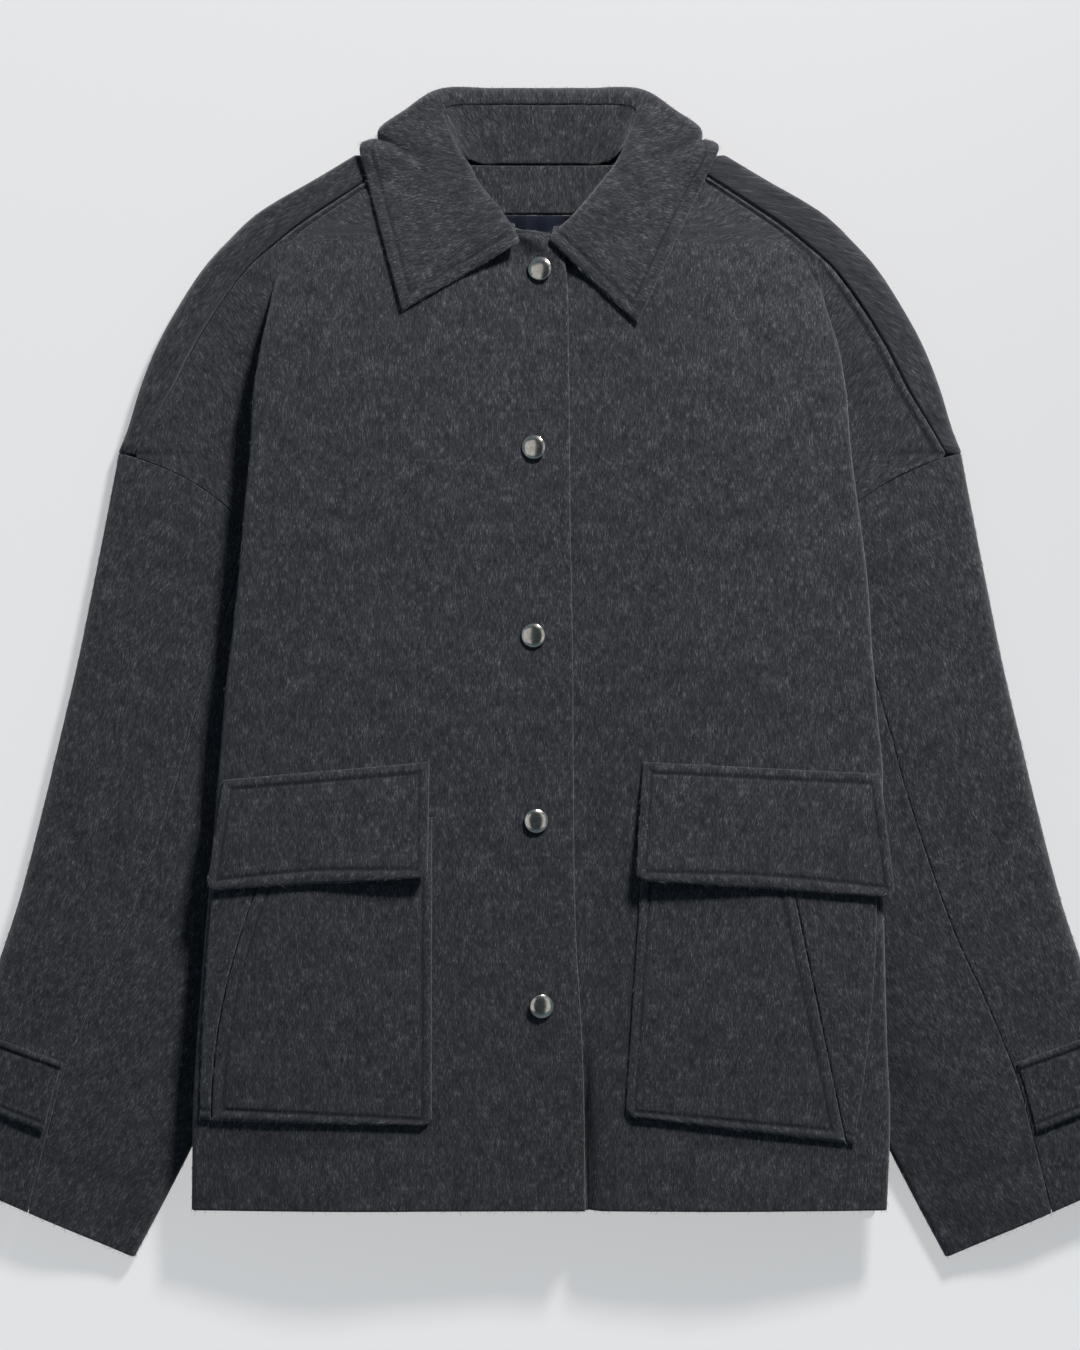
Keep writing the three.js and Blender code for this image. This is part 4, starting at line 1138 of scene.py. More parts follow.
@dataclass(frozen=True)
class Collar:
    """The collar's stand and its leaf, which goes round the shoulder's edge behind the neck."""

    back: tuple[CollarRow, ...] = (
        CollarRow((0, 699.2, 7.2), (0, 738, 12), (0, 677), (0, 749)),
        CollarRow((25, 699.2, 7.2), (30, 738, 12.4), (36, 679), (31, 749)),
        CollarRow((41, 699.6, 7.6), (63, 735, 15), (74, 690), (70, 747.5)),
        CollarRow((50, 703, 10), (61.5, 725, 20), (98, 701), (90, 734.5)),
        CollarRow((55.2, 705.6, 16), (57.3, 712, 24.5), (110, 708.6), (107, 722)),
    )
    right: tuple[CollarRow, ...] = (
        CollarRow((57, 686.6, 20.5), (52, 699, 28.5), (119.6, 708.5)),
        CollarRow((53, 674, 23.5), (44, 688, 31.5), (108.6, 684.5)),
        CollarRow((44, 665.7, 25.5), (35.3, 677, 34), (97.6, 661)),
        CollarRow((33, 658.4, 27), (24.7, 664.5, 36), (86.7, 637.4)),
        CollarRow((20, 656.9, 28.4), (13.5, 653.5, 37.5), (75.7, 613.9)),
        CollarRow((9, 655.2, 29), (6, 646, 38.5), (64.7, 590.3)),
    )
    left: tuple[CollarRow, ...] = (
        CollarRow((57, 686.6, 20.5), (48, 697, 28.5), (120.7, 708.5)),
        CollarRow((53, 674, 23.5), (42.5, 686, 31.5), (115, 685.3)),
        CollarRow((44, 665.7, 26.5), (36, 677, 34.5), (109.2, 663.7)),
        CollarRow((34, 658.6, 29.5), (27.5, 667, 37.5), (103.5, 642)),
        CollarRow((23.5, 658.2, 31.2), (19.6, 655, 40), (97.7, 620.4)),
        CollarRow((17, 657.2, 31.8), (14, 643.5, 41.5), (92, 598.7)),
    )
    roll_radius: float = 3.2
    roll_start: float = 2.5
    turn_top: float = 14.8
    turn_drop: float = 0.4
    stand_gap: float = 0.5
    settle: float = 0.5
    gap: float = 3.6
    welt: float = 8.4
    row_step: float = 2.3
    rim_step: float = 0.7
    stand_rim: tuple[float, ...] = (0.0, 0.012, 0.03, 0.06)
    stand_steps: tuple[float, float, int] = (0.1, 0.9, 14)
    stand_end: tuple[float, ...] = (0.94, 0.97, 0.988, 1.0)
    roll_rim: tuple[float, ...] = (0.0, 0.14, 0.4, 0.8)
    roll_steps: int = 8
    leaf_steps: int = 52
    closer: float = 1.5

    def section(self, side: Side, row: CollarRow) -> tuple[Array, Array]:
        """Centre points of one section, with x outwards.

        Args:
            side: The half of the jacket.
            row: The section's sizes.

        Returns:
            The points of the stand and of the collar.
        """
        neck, roll = np.array(row.neck, dtype=float), np.array(row.roll, dtype=float)
        aim = np.array(row.turn if row.turn else row.leaf, dtype=float)
        out = np.array([*(aim - roll[:2]), 0.0])
        out /= np.linalg.norm(out)
        centre = roll + out * self.roll_radius
        centre[2] -= self.roll_radius

        def arc(middle: Array, radius: float, degrees: float) -> Array:
            """A point round an arc that starts on the neck's side."""
            angle = math.radians(degrees)
            return middle - out * radius * math.cos(angle) + np.array([0, 0, radius * math.sin(angle)])

        climb = centre - neck
        start = 90 - math.degrees(math.atan2(climb[2], float(climb @ out)))
        seam = arc(centre, self.roll_radius, start)
        direction = (seam - neck) / np.linalg.norm(seam - neck)
        first = seam - direction * self.roll_start
        stand_top = first - direction * self.stand_gap
        shares = np.concatenate([self.stand_rim, np.linspace(*self.stand_steps), self.stand_end])
        stand = mix(neck, stand_top, shares[:, None])
        points = [mix(first, seam, share) for share in self.roll_rim]
        angles = [mix(start, 90, k / self.roll_steps) for k in range(1, self.roll_steps + 1)]
        points += [arc(centre, self.roll_radius, angle) for angle in angles]
        top = points[-1]
        leaf = np.array([*row.leaf, FLOOR])
        if row.turn:
            radius = (min(roll[2] - self.turn_drop, self.turn_top) - FLOOR) / 2
            turn = np.array([*row.turn, FLOOR + radius]) - out * radius
            top_end = arc(turn, radius, 90)
            steps = self.leaf_steps // 4
            points += [mix(top, top_end, k / steps) for k in range(1, steps + 1)]
            points += [arc(turn, radius, mix(90, 270, k / (2 * steps))) for k in range(1, 2 * steps + 1)]
            points += [mix(points[-1], leaf, k / steps) for k in range(1, steps + 1)]
            return stand, np.array(points)
        share = 1 - (1 - np.arange(1, self.leaf_steps + 1)[:, None] / self.leaf_steps) ** self.closer
        spots = mix(top, leaf, share)
        lift = top[2] - float(self.ground(side, top[:1], top[1:2])[0]) - self.gap
        settled = 1 - smooth(share[:, 0] / self.settle)
        spots[:, 2] = self.ground(side, spots[:, 0], spots[:, 1]) + self.gap + lift * settled
        return stand, np.concatenate([points, spots])

    @staticmethod
    def ground(side: Side, x: Array, y: Array) -> Array:
        """Height of the front under the collar, which doesn't bend down past the shoulder."""
        return FORM.height(side, np.minimum(x, FORM.limit(side, y)), y)

    def flow(self, rows: Array) -> Array:
        """Rows of points joined by smooth curves, a small step apart.

        Args:
            rows: The sections, from one front end to the other.

        Returns:
            The finer rows.
        """
        steps = np.linalg.norm(np.diff(rows, axis=0), axis=-1).max(axis=1)
        stops = np.concatenate([[0.0], np.cumsum(steps)])
        tangent = np.gradient(rows, stops, axis=0)
        fine = spread(tuple(stops), self.row_step, self.rim_step)
        i = np.clip(np.searchsorted(stops, fine, side="right") - 1, 0, len(stops) - 2)
        span = (stops[i + 1] - stops[i])[:, None, None]
        t = (fine - stops[i])[:, None, None] / span
        h = smooth(t)
        bend = span * (t * (1 - t) ** 2 * tangent[i] - t * t * (1 - t) * tangent[i + 1])
        return rows[i] * (1 - h) + rows[i + 1] * h + bend

    def cloths(self) -> tuple[Cloth, Cloth]:
        """The stand and the leaf as pieces of cloth."""
        right = [self.section(RIGHT, row) for row in (*self.back, *self.right)]
        left = [self.section(LEFT, row) for row in (*self.back, *self.left)][:0:-1]
        grids = []
        for part in (0, 1):
            rows = [pair[part] * np.array([-1.0, 1.0, 1.0]) for pair in left]
            rows += [pair[part] for pair in right]
            grids.append(self.flow(np.array(rows)))
        edges = (Edge.OUTER, Edge.BOTTOM, Edge.TOP)
        welts = tuple(Topstitch(edge, self.welt, 1.1, 1.2, 0.9) for edge in edges)
        stand = Cloth("collar_stand_band", grids[0], mirrored=True, nap_turn=85.0)
        leaf = Cloth("collar_leaf", grids[1], mirrored=True, stitches=welts, nap_turn=90.0)
        return stand, leaf


@dataclass(frozen=True)
class NeckInside:
    """The facing below the stand and the top of the satin lining."""

    facing_half: float = 57.0
    facing_rise: float = 7.0
    facing: tuple[float, float] = (665.8, 698.0)
    lining_half: float = 70.0
    lining: tuple[float, float] = (600.0, 665.2)
    lining_lift: float = 2.2
    step: float = 2.2
    rim_step: float = 0.5
    sag: float = 0.15
    sag_waves: tuple[float, float] = (7.0, 19.0)
    rise_from: tuple[float, float] = (30.0, 672.0)
    rise_over: tuple[float, float] = (28.0, 26.0)

    def strip(
        self,
        name: str,
        half: float,
        span: tuple[float, float],
        lift: float,
        thickness: float,
        rise: float = 0.0,
    ) -> Cloth:
        """One strip across the back neck.

        Args:
            name: The piece's name.
            half: Half its width.
            span: Its lower and upper edge.
            lift: Height of its centre above the back's.
            thickness: Its thickness.
            rise: How far its upper corners follow the collar up.

        Returns:
            The piece of cloth.
        """
        across = spread((-half, half), self.step, self.rim_step)
        up = spread(span, self.step, self.rim_step)
        x, y = np.meshgrid(across, up)
        wave = np.sin(x / self.sag_waves[0] + y / self.sag_waves[1]) * (thickness < WALL)
        corner = [
            smooth((value - start) / width)
            for value, start, width in zip((np.abs(x), y), self.rise_from, self.rise_over)
        ]
        z = FORM.floor(y) + lift + self.sag * wave + rise * corner[0] * corner[1]
        return Cloth(name, np.stack([x, y, z], axis=-1), thickness=thickness, nap_under=0.0)

    def cloths(self) -> tuple[Cloth, Cloth]:
        """The facing and the lining."""
        facing = self.strip(
            "back_neck_facing", self.facing_half, self.facing, LAYER, WALL, self.facing_rise
        )
        lining = self.strip("back_neck_lining", self.lining_half, self.lining, self.lining_lift, SATIN)
        return facing, lining


class PocketPart(Enum):
    """The three visible pieces of a pocket."""

    PATCH = "pocket"
    SIDE = "pocket_side"
    FLAP = "flap"


@dataclass(frozen=True)
class Corners:
    """Corners of a piece that lies on a front, with x outwards."""

    top_inner: tuple[float, float]
    top_outer: tuple[float, float]
    bottom_inner: tuple[float, float]
    bottom_outer: tuple[float, float]
    bulge: float = 0.0
    inner_bulge: float = 0.0

    def at(self, u: Array, v: Array) -> tuple[Array, Array]:
        """Place at a share of the width and a share of the way down."""
        axes = []
        for axis in (0, 1):
            top = mix(self.top_inner[axis], self.top_outer[axis], u)
            bottom = mix(self.bottom_inner[axis], self.bottom_outer[axis], u)
            axes.append(mix(top, bottom, v))
        return axes[0] + mix(self.inner_bulge, self.bulge, u) * 4.0 * v * (1.0 - v), axes[1]


@dataclass(frozen=True)
class Pocket:
    """One pocket: a patch, the strip beyond its slanted opening, and a flap."""

    side: Side
    patch: Corners
    strip: Corners
    flap: Corners
    fine: float = 1.05
    coarse: float = 3.6
    stitched: float = 12.0
    corner: float = 6.5
    flap_lift: tuple[float, float, float] = (LAYER, 2 * LAYER + 0.4, 2 * LAYER + 0.9)
    climb: float = 0.3
    free: float = 0.4
    corner_lift: float = 5.0
    corner_from: float = 0.45
    corner_width: float = 0.6

    def lift(self, u: Array, v: Array) -> Array:
        """Height of the flap's centre above the front's."""
        seam, body, edge = self.flap_lift
        raised = (edge - body) * smooth((v - self.free) / (1 - self.free))
        down = smooth((v - self.corner_from) / (1 - self.corner_from))
        corner = self.corner_lift * down * smooth(1 - u / self.corner_width)
        return mix(seam, body, smooth(v / self.climb)) + raised + corner

    def grid(self, part: PocketPart) -> Array:
        """Centre points of one of the pocket's pieces, from its lower edge up."""
        shapes = {PocketPart.PATCH: self.patch, PocketPart.SIDE: self.strip, PocketPart.FLAP: self.flap}
        corners = shapes[part]
        bottom = math.dist(corners.bottom_inner, corners.bottom_outer)
        width = max(bottom, math.dist(corners.top_inner, corners.top_outer))
        length = math.dist(corners.top_inner, corners.bottom_inner)
        across = graded(width, self.stitched, self.fine, self.coarse) / width
        down = 1 - graded(length, self.stitched, self.fine, self.coarse) / length
        u, v = np.meshgrid(across, down)
        if part is not PocketPart.SIDE:
            rise = (1 - v) * length
            left = np.maximum(0.0, self.corner - rise)
            inset = self.corner - np.sqrt(np.maximum(0.0, self.corner**2 - left**2))
            share = inset / width
            outer = share if part is PocketPart.FLAP else 0.0 * share
            u = share + u * (1 - share - outer)
        x, y = corners.at(u, v)
        raised = self.lift(u, v) if part is PocketPart.FLAP else LAYER + 0.0 * u
        z = FORM.height(self.side, x, y) + raised
        return np.stack([x, y, z], axis=-1)

    def cloth(self, part: PocketPart) -> Cloth:
        """One of the pocket's pieces as a piece of cloth."""
        inner, outer, bottom, top = Edge.INNER, Edge.OUTER, Edge.BOTTOM, Edge.TOP
        lines = {
            PocketPart.FLAP: (
                Topstitch(top, 7.0),
                Topstitch(inner, 6.4),
                Topstitch(outer, 6.4),
                Topstitch(bottom, 9.0, 1.15, 1.2, 1.2),
            ),
            PocketPart.PATCH: (
                Topstitch(inner, 6.2),
                Topstitch(bottom, 7.3, 1.15, 1.2, 1.2),
                Topstitch(outer, 8.0, 0.9, 1.1, 0.6),
            ),
            PocketPart.SIDE: (Topstitch(bottom, 6.4),),
        }[part]
        return Cloth(
            f"{self.side.name}_{part.value}_cloth",
            self.side.signed(self.grid(part)),
            mirrored=self.side is LEFT,
            stitches=lines,
            nap_under=0.0,
        )


POCKETS = (
    Pocket(
        RIGHT,
        patch=Corners((70, 262), (158, 262), (56.7, 64), (203, 46)),
        strip=Corners((159, 262), (223, 262), (204, 45.8), (208.5, 45), 6.0),
        flap=Corners((68.5, 299), (226, 291), (63.5, 221), (236, 209)),
    ),
    Pocket(
        LEFT,
        patch=Corners((71.7, 262), (166, 262), (72, 57.5), (218, 60.5), 13.0),
        strip=Corners((167, 262), (213, 262), (219, 61), (226.5, 61.5), 2.0, 13.0),
        flap=Corners((73.3, 299), (210, 287), (74.5, 222.5), (221.5, 214)),
    ),
)


@dataclass(frozen=True)
class CuffTabs:
    """The tabs at the cuffs, caught in the sleeves' front seams."""

    sections: tuple[float, float] = (7.92, 8.86)
    start: float = 0.02
    length: float = 58.0
    outermost: float = 0.985
    lift: float = LAYER + 0.2
    snap_from: float = 53.0
    snap_gap: float = 0.35
    welt: float = 5.2
    fine: float = 1.05
    coarse: float = 3.0
    stitched: float = 8.0

    def surface(self, side: Side, s: Array, u: Array) -> tuple[Array, Array]:
        """Points on the sleeve's top surface and the directions straight out of it."""
        step = 0.01
        spots = ARM.point(side, s, u, 1.0)
        along = ARM.point(side, s + step, u, 1.0) - ARM.point(side, s - step, u, 1.0)
        across = ARM.point(side, s, np.minimum(u + step, 1.0), 1.0) - ARM.point(side, s, u - step, 1.0)
        normal = np.cross(across, along)
        normal *= np.sign(normal[..., 2:3])
        return spots, normal / np.linalg.norm(normal, axis=-1, keepdims=True)

    def share(self, s: Array, distance: Array) -> Array:
        """Share of the sleeve's width at a distance from the front seam."""
        width = ARM.plan(s, 0.5)[2]
        return SLEEVE.at("seam", s) + self.start + distance / width

    def cloth(self, side: Side) -> Cloth:
        """One tab as a piece of cloth."""
        start, end = self.sections
        s = end - graded(1.0, 0.25, 0.02, 0.08)[:, None] * (end - start)
        along = graded(self.length, self.stitched, self.fine, self.coarse)[None, :]
        u = np.minimum(self.share(s, along), self.outermost + 0.002 * along / self.length)
        spots, normal = self.surface(side, s, u)
        lines = (Topstitch(Edge.TOP, self.welt), Topstitch(Edge.BOTTOM, self.welt))
        return Cloth(
            f"{side.name}_cuff_tab",
            side.signed(spots + normal * self.lift),
            mirrored=side is LEFT,
            stitches=lines,
            nap_turn=0.0,
            nap_under=0.0,
        )

    def snap_place(self, side: Side) -> tuple[Array, Array]:
        """Base and direction of a tab's snap."""
        s = np.array(sum(self.sections) / 2)
        spot, normal = self.surface(side, s, self.share(s, self.snap_from))
        turn = np.array([side.sign, 1.0, 1.0])
        return (spot + normal * (self.lift + HALF + self.snap_gap)) * turn, normal * turn


@dataclass(frozen=True)
class Snaps:
    """The domed snap caps up the closure and on the tabs."""

    radius: float = 8.0
    tab_radius: float = 6.0
    gap: float = 0.45
    sides: int = 56
    slope_step: float = 6.0
    held: float = 0.9
    places: tuple[tuple[float, float, float], ...] = (
        (0.4, 627, -0.16),
        (-3.7, 508, -0.16),
        (-4.3, 383, -0.04),
        (-2.7, 259.7, 0.09),
        (0.7, 136.8, 0.13),
    )
    profile: tuple[tuple[float, float], ...] = (
        (0, 0),
        (7.0, 0),
        (7.5, 0.1),
        (7.85, 0.4),
        (8, 0.8),
        (7.97, 1.15),
        (7.8, 1.45),
        (7.45, 1.68),
        (7.1, 1.78),
        (6.8, 1.9),
        (6.2, 2.15),
        (5.2, 2.4),
        (3.9, 2.6),
        (2.6, 2.72),
        (1.3, 2.78),
        (0, 2.8),
    )

    def cap(
        self,
        name: str,
        base: Array,
        normal: Array,
        radius: float,
        finish: bpy.types.Material,
    ) -> bpy.types.Object:
        """One cap, turned from its profile.

        Args:
            name: The piece's name.
            base: Middle of its underside, in millimetres.
            normal: Its axis.
            radius: Its radius.
            finish: The material.

        Returns:
            The object.
        """
        turn = Vector((0, 0, 1)).rotation_difference(Vector(normal)).to_matrix()
        shape = bmesh.new()
        rings = []
        for r, z in self.profile:
            count = 1 if r == 0 else self.sides
            angle = np.arange(count) * 2 * math.pi / self.sides
            scale = radius / self.radius
            spots = np.stack([r * np.cos(angle), r * np.sin(angle), np.full(count, z)], axis=-1) * scale
            placed = world(spots @ np.array(turn).T + base)
            rings.append([shape.verts.new(spot) for spot in placed])
        for lower, upper in zip(rings[:-1], rings[1:]):
            for k in range(self.sides):
                n = (k + 1) % self.sides
                corners = [lower[k % len(lower)], lower[n % len(lower)]]
                corners += [upper[n % len(upper)], upper[k % len(upper)]]
                shape.faces.new(list(dict.fromkeys(corners)))
        bmesh.ops.recalc_face_normals(shape, faces=shape.faces)
        for face in shape.faces:
            face.smooth = True
        mesh = bpy.data.meshes.new(name)
        shape.to_mesh(mesh)
        shape.free()
        mesh.materials.append(finish)
        piece = bpy.data.objects.new(name, mesh)
        bpy.context.scene.collection.objects.link(piece)
        return piece

    def build(self, finish: bpy.types.Material, tabs: CuffTabs) -> list[tuple[bpy.types.Object, str]]:
        """All caps.

        Args:
            finish: The material.
            tabs: The cuff tabs that two of them lie on.

        Returns:
            Each cap with the node that it stands for.
        """
        caps = []
        for k, (x, y, lean) in enumerate(self.places, 1):
            step = self.slope_step
            east, west = (FORM.height(LEFT, -(x + d), y) for d in (step, -step))
            north, south = (FORM.height(LEFT, -x, y + d) for d in (step, -step))
            normal = np.array([(west - east) / (2 * step) + lean, (south - north) / (2 * step), 1.0])
            normal /= np.linalg.norm(normal)
            clear = HALF + self.gap + abs(lean) * self.radius * self.held
            base = np.array([x, y, float(FORM.height(LEFT, -x, y))]) + normal * clear
            caps.append((self.cap(f"snap_cap_{k}", base, normal, self.radius, finish), f"snap_{k}"))
        for side in SIDES:
            base, normal = tabs.snap_place(side)
            cap = self.cap(f"{side.name}_tab_snap_cap", base, normal, self.tab_radius, finish)
            caps.append((cap, f"tab_snap_{side.name}"))
        return caps


Colour = tuple[float, float, float]
Stop = tuple[float, Colour]


class Graph:
    """Adds nodes to a tree and joins them."""

    def __init__(self, tree: bpy.types.NodeTree) -> None:
        """Takes the tree and empties it.

        Args:
            tree: A material's, world's or modifier's tree.
        """
        self.tree = tree
        tree.nodes.clear()

    def add(
        self,
        kind: str,
        inputs: dict[str | int, object] | None = None,
        **settings: object,
    ) -> bpy.types.Node:
        """Adds a node.

        Args:
            kind: The node's type.
            inputs: A value or another node's socket for each named input.
            settings: The node's own options.

        Returns:
            The node.
        """
        made = self.tree.nodes.new(kind)
        for name, value in settings.items():
            setattr(made, name, value)
        for name, value in (inputs or {}).items():
            if isinstance(value, bpy.types.NodeSocket):
                self.tree.links.new(value, made.inputs[name])
            else:
                made.inputs[name].default_value = value
        return made

    def sum(self, operation: str, first: object, second: object) -> bpy.types.NodeSocket:
        """The result of one sum on two numbers or sockets."""
        return self.add("ShaderNodeMath", {0: first, 1: second}, operation=operation).outputs[0]

    def vector(self, operation: str, *values: object) -> bpy.types.NodeSocket:
        """The result of one sum on vectors."""
        inputs = dict(enumerate(values))
        return self.add("ShaderNodeVectorMath", inputs, operation=operation).outputs[0]

    def attribute(self, name: str, kind: str) -> bpy.types.NodeSocket:
        """A named attribute of the piece."""
        made = self.add("GeometryNodeInputNamedAttribute", {"Name": name}, data_type=kind)
        return next(socket for socket in made.outputs if socket.enabled)

    def chance(self, low: object, high: object, seed: object, step: float) -> bpy.types.NodeSocket:
        """A random number for every point.

        Args:
            low: The smallest it can be.
            high: The largest it can be.
            seed: The tree's seed.
            step: Added to the seed, different for each use.

        Returns:
            The socket with the number.
        """
        made = self.add("FunctionNodeRandomValue", {"Seed": self.sum("ADD", seed, step)}, data_type="FLOAT")
        limits = (socket for socket in made.inputs if socket.enabled and socket.name in ("Min", "Max"))
        for socket, value in zip(limits, (low, high)):
            self.tree.links.new(value, socket)
        return next(socket for socket in made.outputs if socket.enabled)

    def noise(self, place: object, scale: float, detail: float, roughness: float = 0.5) -> bpy.types.Node:
        """A noise texture at a place."""
        inputs = {"Vector": place, "Scale": scale, "Detail": detail, "Roughness": roughness}
        return self.add("ShaderNodeTexNoise", inputs)

    def bump(self, height: object, distance: float, strength: float) -> bpy.types.NodeSocket:
        """The normal of a surface with a relief, whose full height is a distance in metres."""
        inputs = {"Height": height, "Distance": distance, "Strength": strength}
        return self.add("ShaderNodeBump", inputs).outputs[0]

    def ramp(self, value: object, stops: Sequence[Stop]) -> bpy.types.NodeSocket:
        """A value as a colour.

        Args:
            value: The socket with the value.
            stops: Place and colour of every stop.

        Returns:
            The socket with the colour.
        """
        made = self.add("ShaderNodeValToRGB", {"Fac": value})
        line = made.color_ramp
        while len(line.elements) < len(stops):
            line.elements.new(0.5)
        for element, (place, colour) in zip(line.elements, stops):
            element.position = place
            element.color = (*colour, 1.0)
        return made.outputs["Color"]


@dataclass(frozen=True)
class Finish:
    """A material of the jacket."""

    name: str
    roughness: float
    metallic: float = 0.0
    specular: float = 0.5
    sheen: float = 0.0
    sheen_roughness: float = 0.5
    sheen_tint: Colour = (1.0, 1.0, 1.0)

    def paint(self, graph: Graph) -> tuple[object, object]:
        """Adds the nodes for colour and height.

        Args:
            graph: The material's nodes.

        Returns:
            The colour, and the normal or None.
        """
        raise NotImplementedError

    def make(self) -> bpy.types.Material:
        """Makes the material."""
        material = bpy.data.materials.new(self.name)
        material.use_nodes = True
        graph = Graph(material.node_tree)
        colour, normal = self.paint(graph)
        inputs = {
            "Base Color": colour,
            "Roughness": self.roughness,
            "Metallic": self.metallic,
            "Specular IOR Level": self.specular,
            "Sheen Weight": self.sheen,
            "Sheen Roughness": self.sheen_roughness,
            "Sheen Tint": (*self.sheen_tint, 1.0),
        }
        if normal is not None:
            inputs["Normal"] = normal
        surface = graph.add("ShaderNodeBsdfPrincipled", inputs)
        graph.add("ShaderNodeOutputMaterial", {"Surface": surface.outputs[0]})
        return material


@dataclass(frozen=True)
class BrushedWool(Finish):
    """Dark wool whose hairs are brushed along the cloth's UV map, with lighter ones on top, and painted
    shade in its stitch grooves.
    """

    hair: tuple[float, float] = (1100.0, 210.0)
    fine_hair: tuple[float, float] = (2400.0, 420.0)
    tuft: tuple[float, float] = (250.0, 95.0)
    mottle: float = 55.0
    weights: tuple[float, float, float, float] = (0.42, 0.22, 0.24, 0.12)
    sway: tuple[tuple[float, float], ...] = ((45.0, 0.0034), (150.0, 0.0012))
    height: float = 0.0009
    strength: float = 0.6
    # Painted shade in the stitch grooves: its dark colour and how strongly it is mixed in.
    groove_shade_colour: Colour = (0.006, 0.008, 0.011)
    groove_shade_strength: float = 0.72
    stops: tuple[Stop, ...] = (
        (0.40, (0.0095, 0.0102, 0.0122)),
        (0.49, (0.0245, 0.0253, 0.0293)),
        (0.55, (0.043, 0.044, 0.0493)),
        (0.63, (0.110, 0.112, 0.120)),
    )

    def paint(self, graph: Graph) -> tuple[object, object]:
        """Adds the nodes for the brushed hairs and the painted shade in the stitch grooves.

        Args:
            graph: The material's nodes.

        Returns:
            The colour and the normal.
        """
        place = graph.add("ShaderNodeUVMap", uv_map="UVMap").outputs["UV"]
        bent = place
        for scale, reach in self.sway:
            wave = graph.noise(place, scale, 1.0).outputs["Color"]
            centred = graph.vector("SUBTRACT", wave, (0.5, 0.5, 0.5))
            bent = graph.vector("ADD", bent, graph.vector("MULTIPLY", centred, (reach, reach, reach)))

        def layer(scales: tuple[float, float], detail: float) -> bpy.types.NodeSocket:
            """Noise drawn out along the hairs."""
            drawn = graph.vector("MULTIPLY", bent, (*scales, 1.0))
            return graph.noise(drawn, 1.0, detail, 0.6).outputs[0]

        layers = (
            layer(self.hair, 2.0),
            layer(self.fine_hair, 1.0),
            layer(self.tuft, 2.0),
            graph.noise(place, self.mottle, 3.0).outputs[0],
        )
        hair, fine, tuft, cloud = (graph.sum("MULTIPLY", *pair) for pair in zip(layers, self.weights))
        value = graph.sum("ADD", graph.sum("ADD", hair, fine), graph.sum("ADD", tuft, cloud))
        # Painted shade: the colour is darkened towards a dark colour along the stitch grooves, where the
        # sunk mask is high.
        sunk = graph.add("ShaderNodeAttribute", attribute_name="sunk").outputs["Fac"]
        shaded = graph.add(
            "ShaderNodeMix",
            {"Factor": graph.sum("MULTIPLY", sunk, self.groove_shade_strength)},
            data_type="RGBA",
            blend_type="MIX",
        )
        lit, dark = (socket for socket in shaded.inputs if socket.enabled and socket.name in ("A", "B"))
        graph.tree.links.new(graph.ramp(value, self.stops), lit)
        dark.default_value = (*self.groove_shade_colour, 1.0)
        colour = next(socket for socket in shaded.outputs if socket.enabled)
        return colour, graph.bump(value, self.height, self.strength)


@dataclass(frozen=True)
class HairFinish(Finish):
    """The single hairs that stand out of the wool, from dark to pale."""

    patch: float = 420.0
    stops: tuple[Stop, ...] = (
        (0.35, (0.030, 0.031, 0.035)),
        (0.5, (0.095, 0.096, 0.103)),
        (0.66, (0.27, 0.27, 0.28)),
    )

    def paint(self, graph: Graph) -> tuple[object, object]:
        """Adds the nodes that vary the hairs' colour.

        Args:
            graph: The material's nodes.

        Returns:
            The colour, and no normal.
        """
        place = graph.add("ShaderNodeTexCoord").outputs["Object"]
        return graph.ramp(graph.noise(place, self.patch, 2.0).outputs[0], self.stops), None


@dataclass(frozen=True)
class SatinFinish(Finish):
    """Smooth dark navy lining cloth with soft ripples down its length, painted lighter on their crests as a
    painted sheen.
    """

    ripple: tuple[float, float] = (85.0, 14.0)
    weave: float = 2600.0
    weave_height: float = 0.03
    height: float = 0.006
    strength: float = 0.7
    # The lighter stops are a painted sheen on the ripples' crests; the darkest is the satin's own navy.
    stops: tuple[Stop, ...] = (
        (0.35, (0.004, 0.006, 0.012)),
        (0.6, (0.010, 0.014, 0.026)),
        (0.8, (0.022, 0.028, 0.046)),
    )

    def paint(self, graph: Graph) -> tuple[object, object]:
        """Adds the nodes for the ripples, their painted sheen and the weave.

        Args:
            graph: The material's nodes.

        Returns:
            The colour and the normal.
        """
        place = graph.add("ShaderNodeUVMap", uv_map="UVMap").outputs["UV"]
        drawn = graph.vector("MULTIPLY", place, (*self.ripple, 1.0))
        wave = graph.noise(drawn, 1.0, 1.5).outputs[0]
        thread = graph.noise(place, self.weave, 1.0).outputs[0]
        height = graph.sum("ADD", wave, graph.sum("MULTIPLY", thread, self.weave_height))
        # The colour follows the ripples' height: a painted sheen.
        return graph.ramp(wave, self.stops), graph.bump(height, self.height, self.strength)


@dataclass(frozen=True)
class NickelFinish(Finish):
    """Polished metal with faint scratches and dulled patches."""

    patch: float = 380.0
    scratch: tuple[float, float, float] = (900.0, 5200.0, 900.0)
    height: float = 0.00002
    strength: float = 0.4
    stops: tuple[Stop, ...] = (
        (0.3, (0.52, 0.455, 0.385)),
        (0.7, (0.72, 0.635, 0.54)),
    )

    def paint(self, graph: Graph) -> tuple[object, object]:
        """Adds the nodes for the patches and the scratches.

        Args:
            graph: The material's nodes.

        Returns:
            The colour and the normal.
        """
        place = graph.add("ShaderNodeTexCoord").outputs["Object"]
        patches = graph.noise(place, self.patch, 2.0).outputs[0]
        drawn = graph.vector("MULTIPLY", place, self.scratch)
        lines = graph.noise(drawn, 1.0, 1.0).outputs[0]
        return graph.ramp(patches, self.stops), graph.bump(lines, self.height, self.strength)


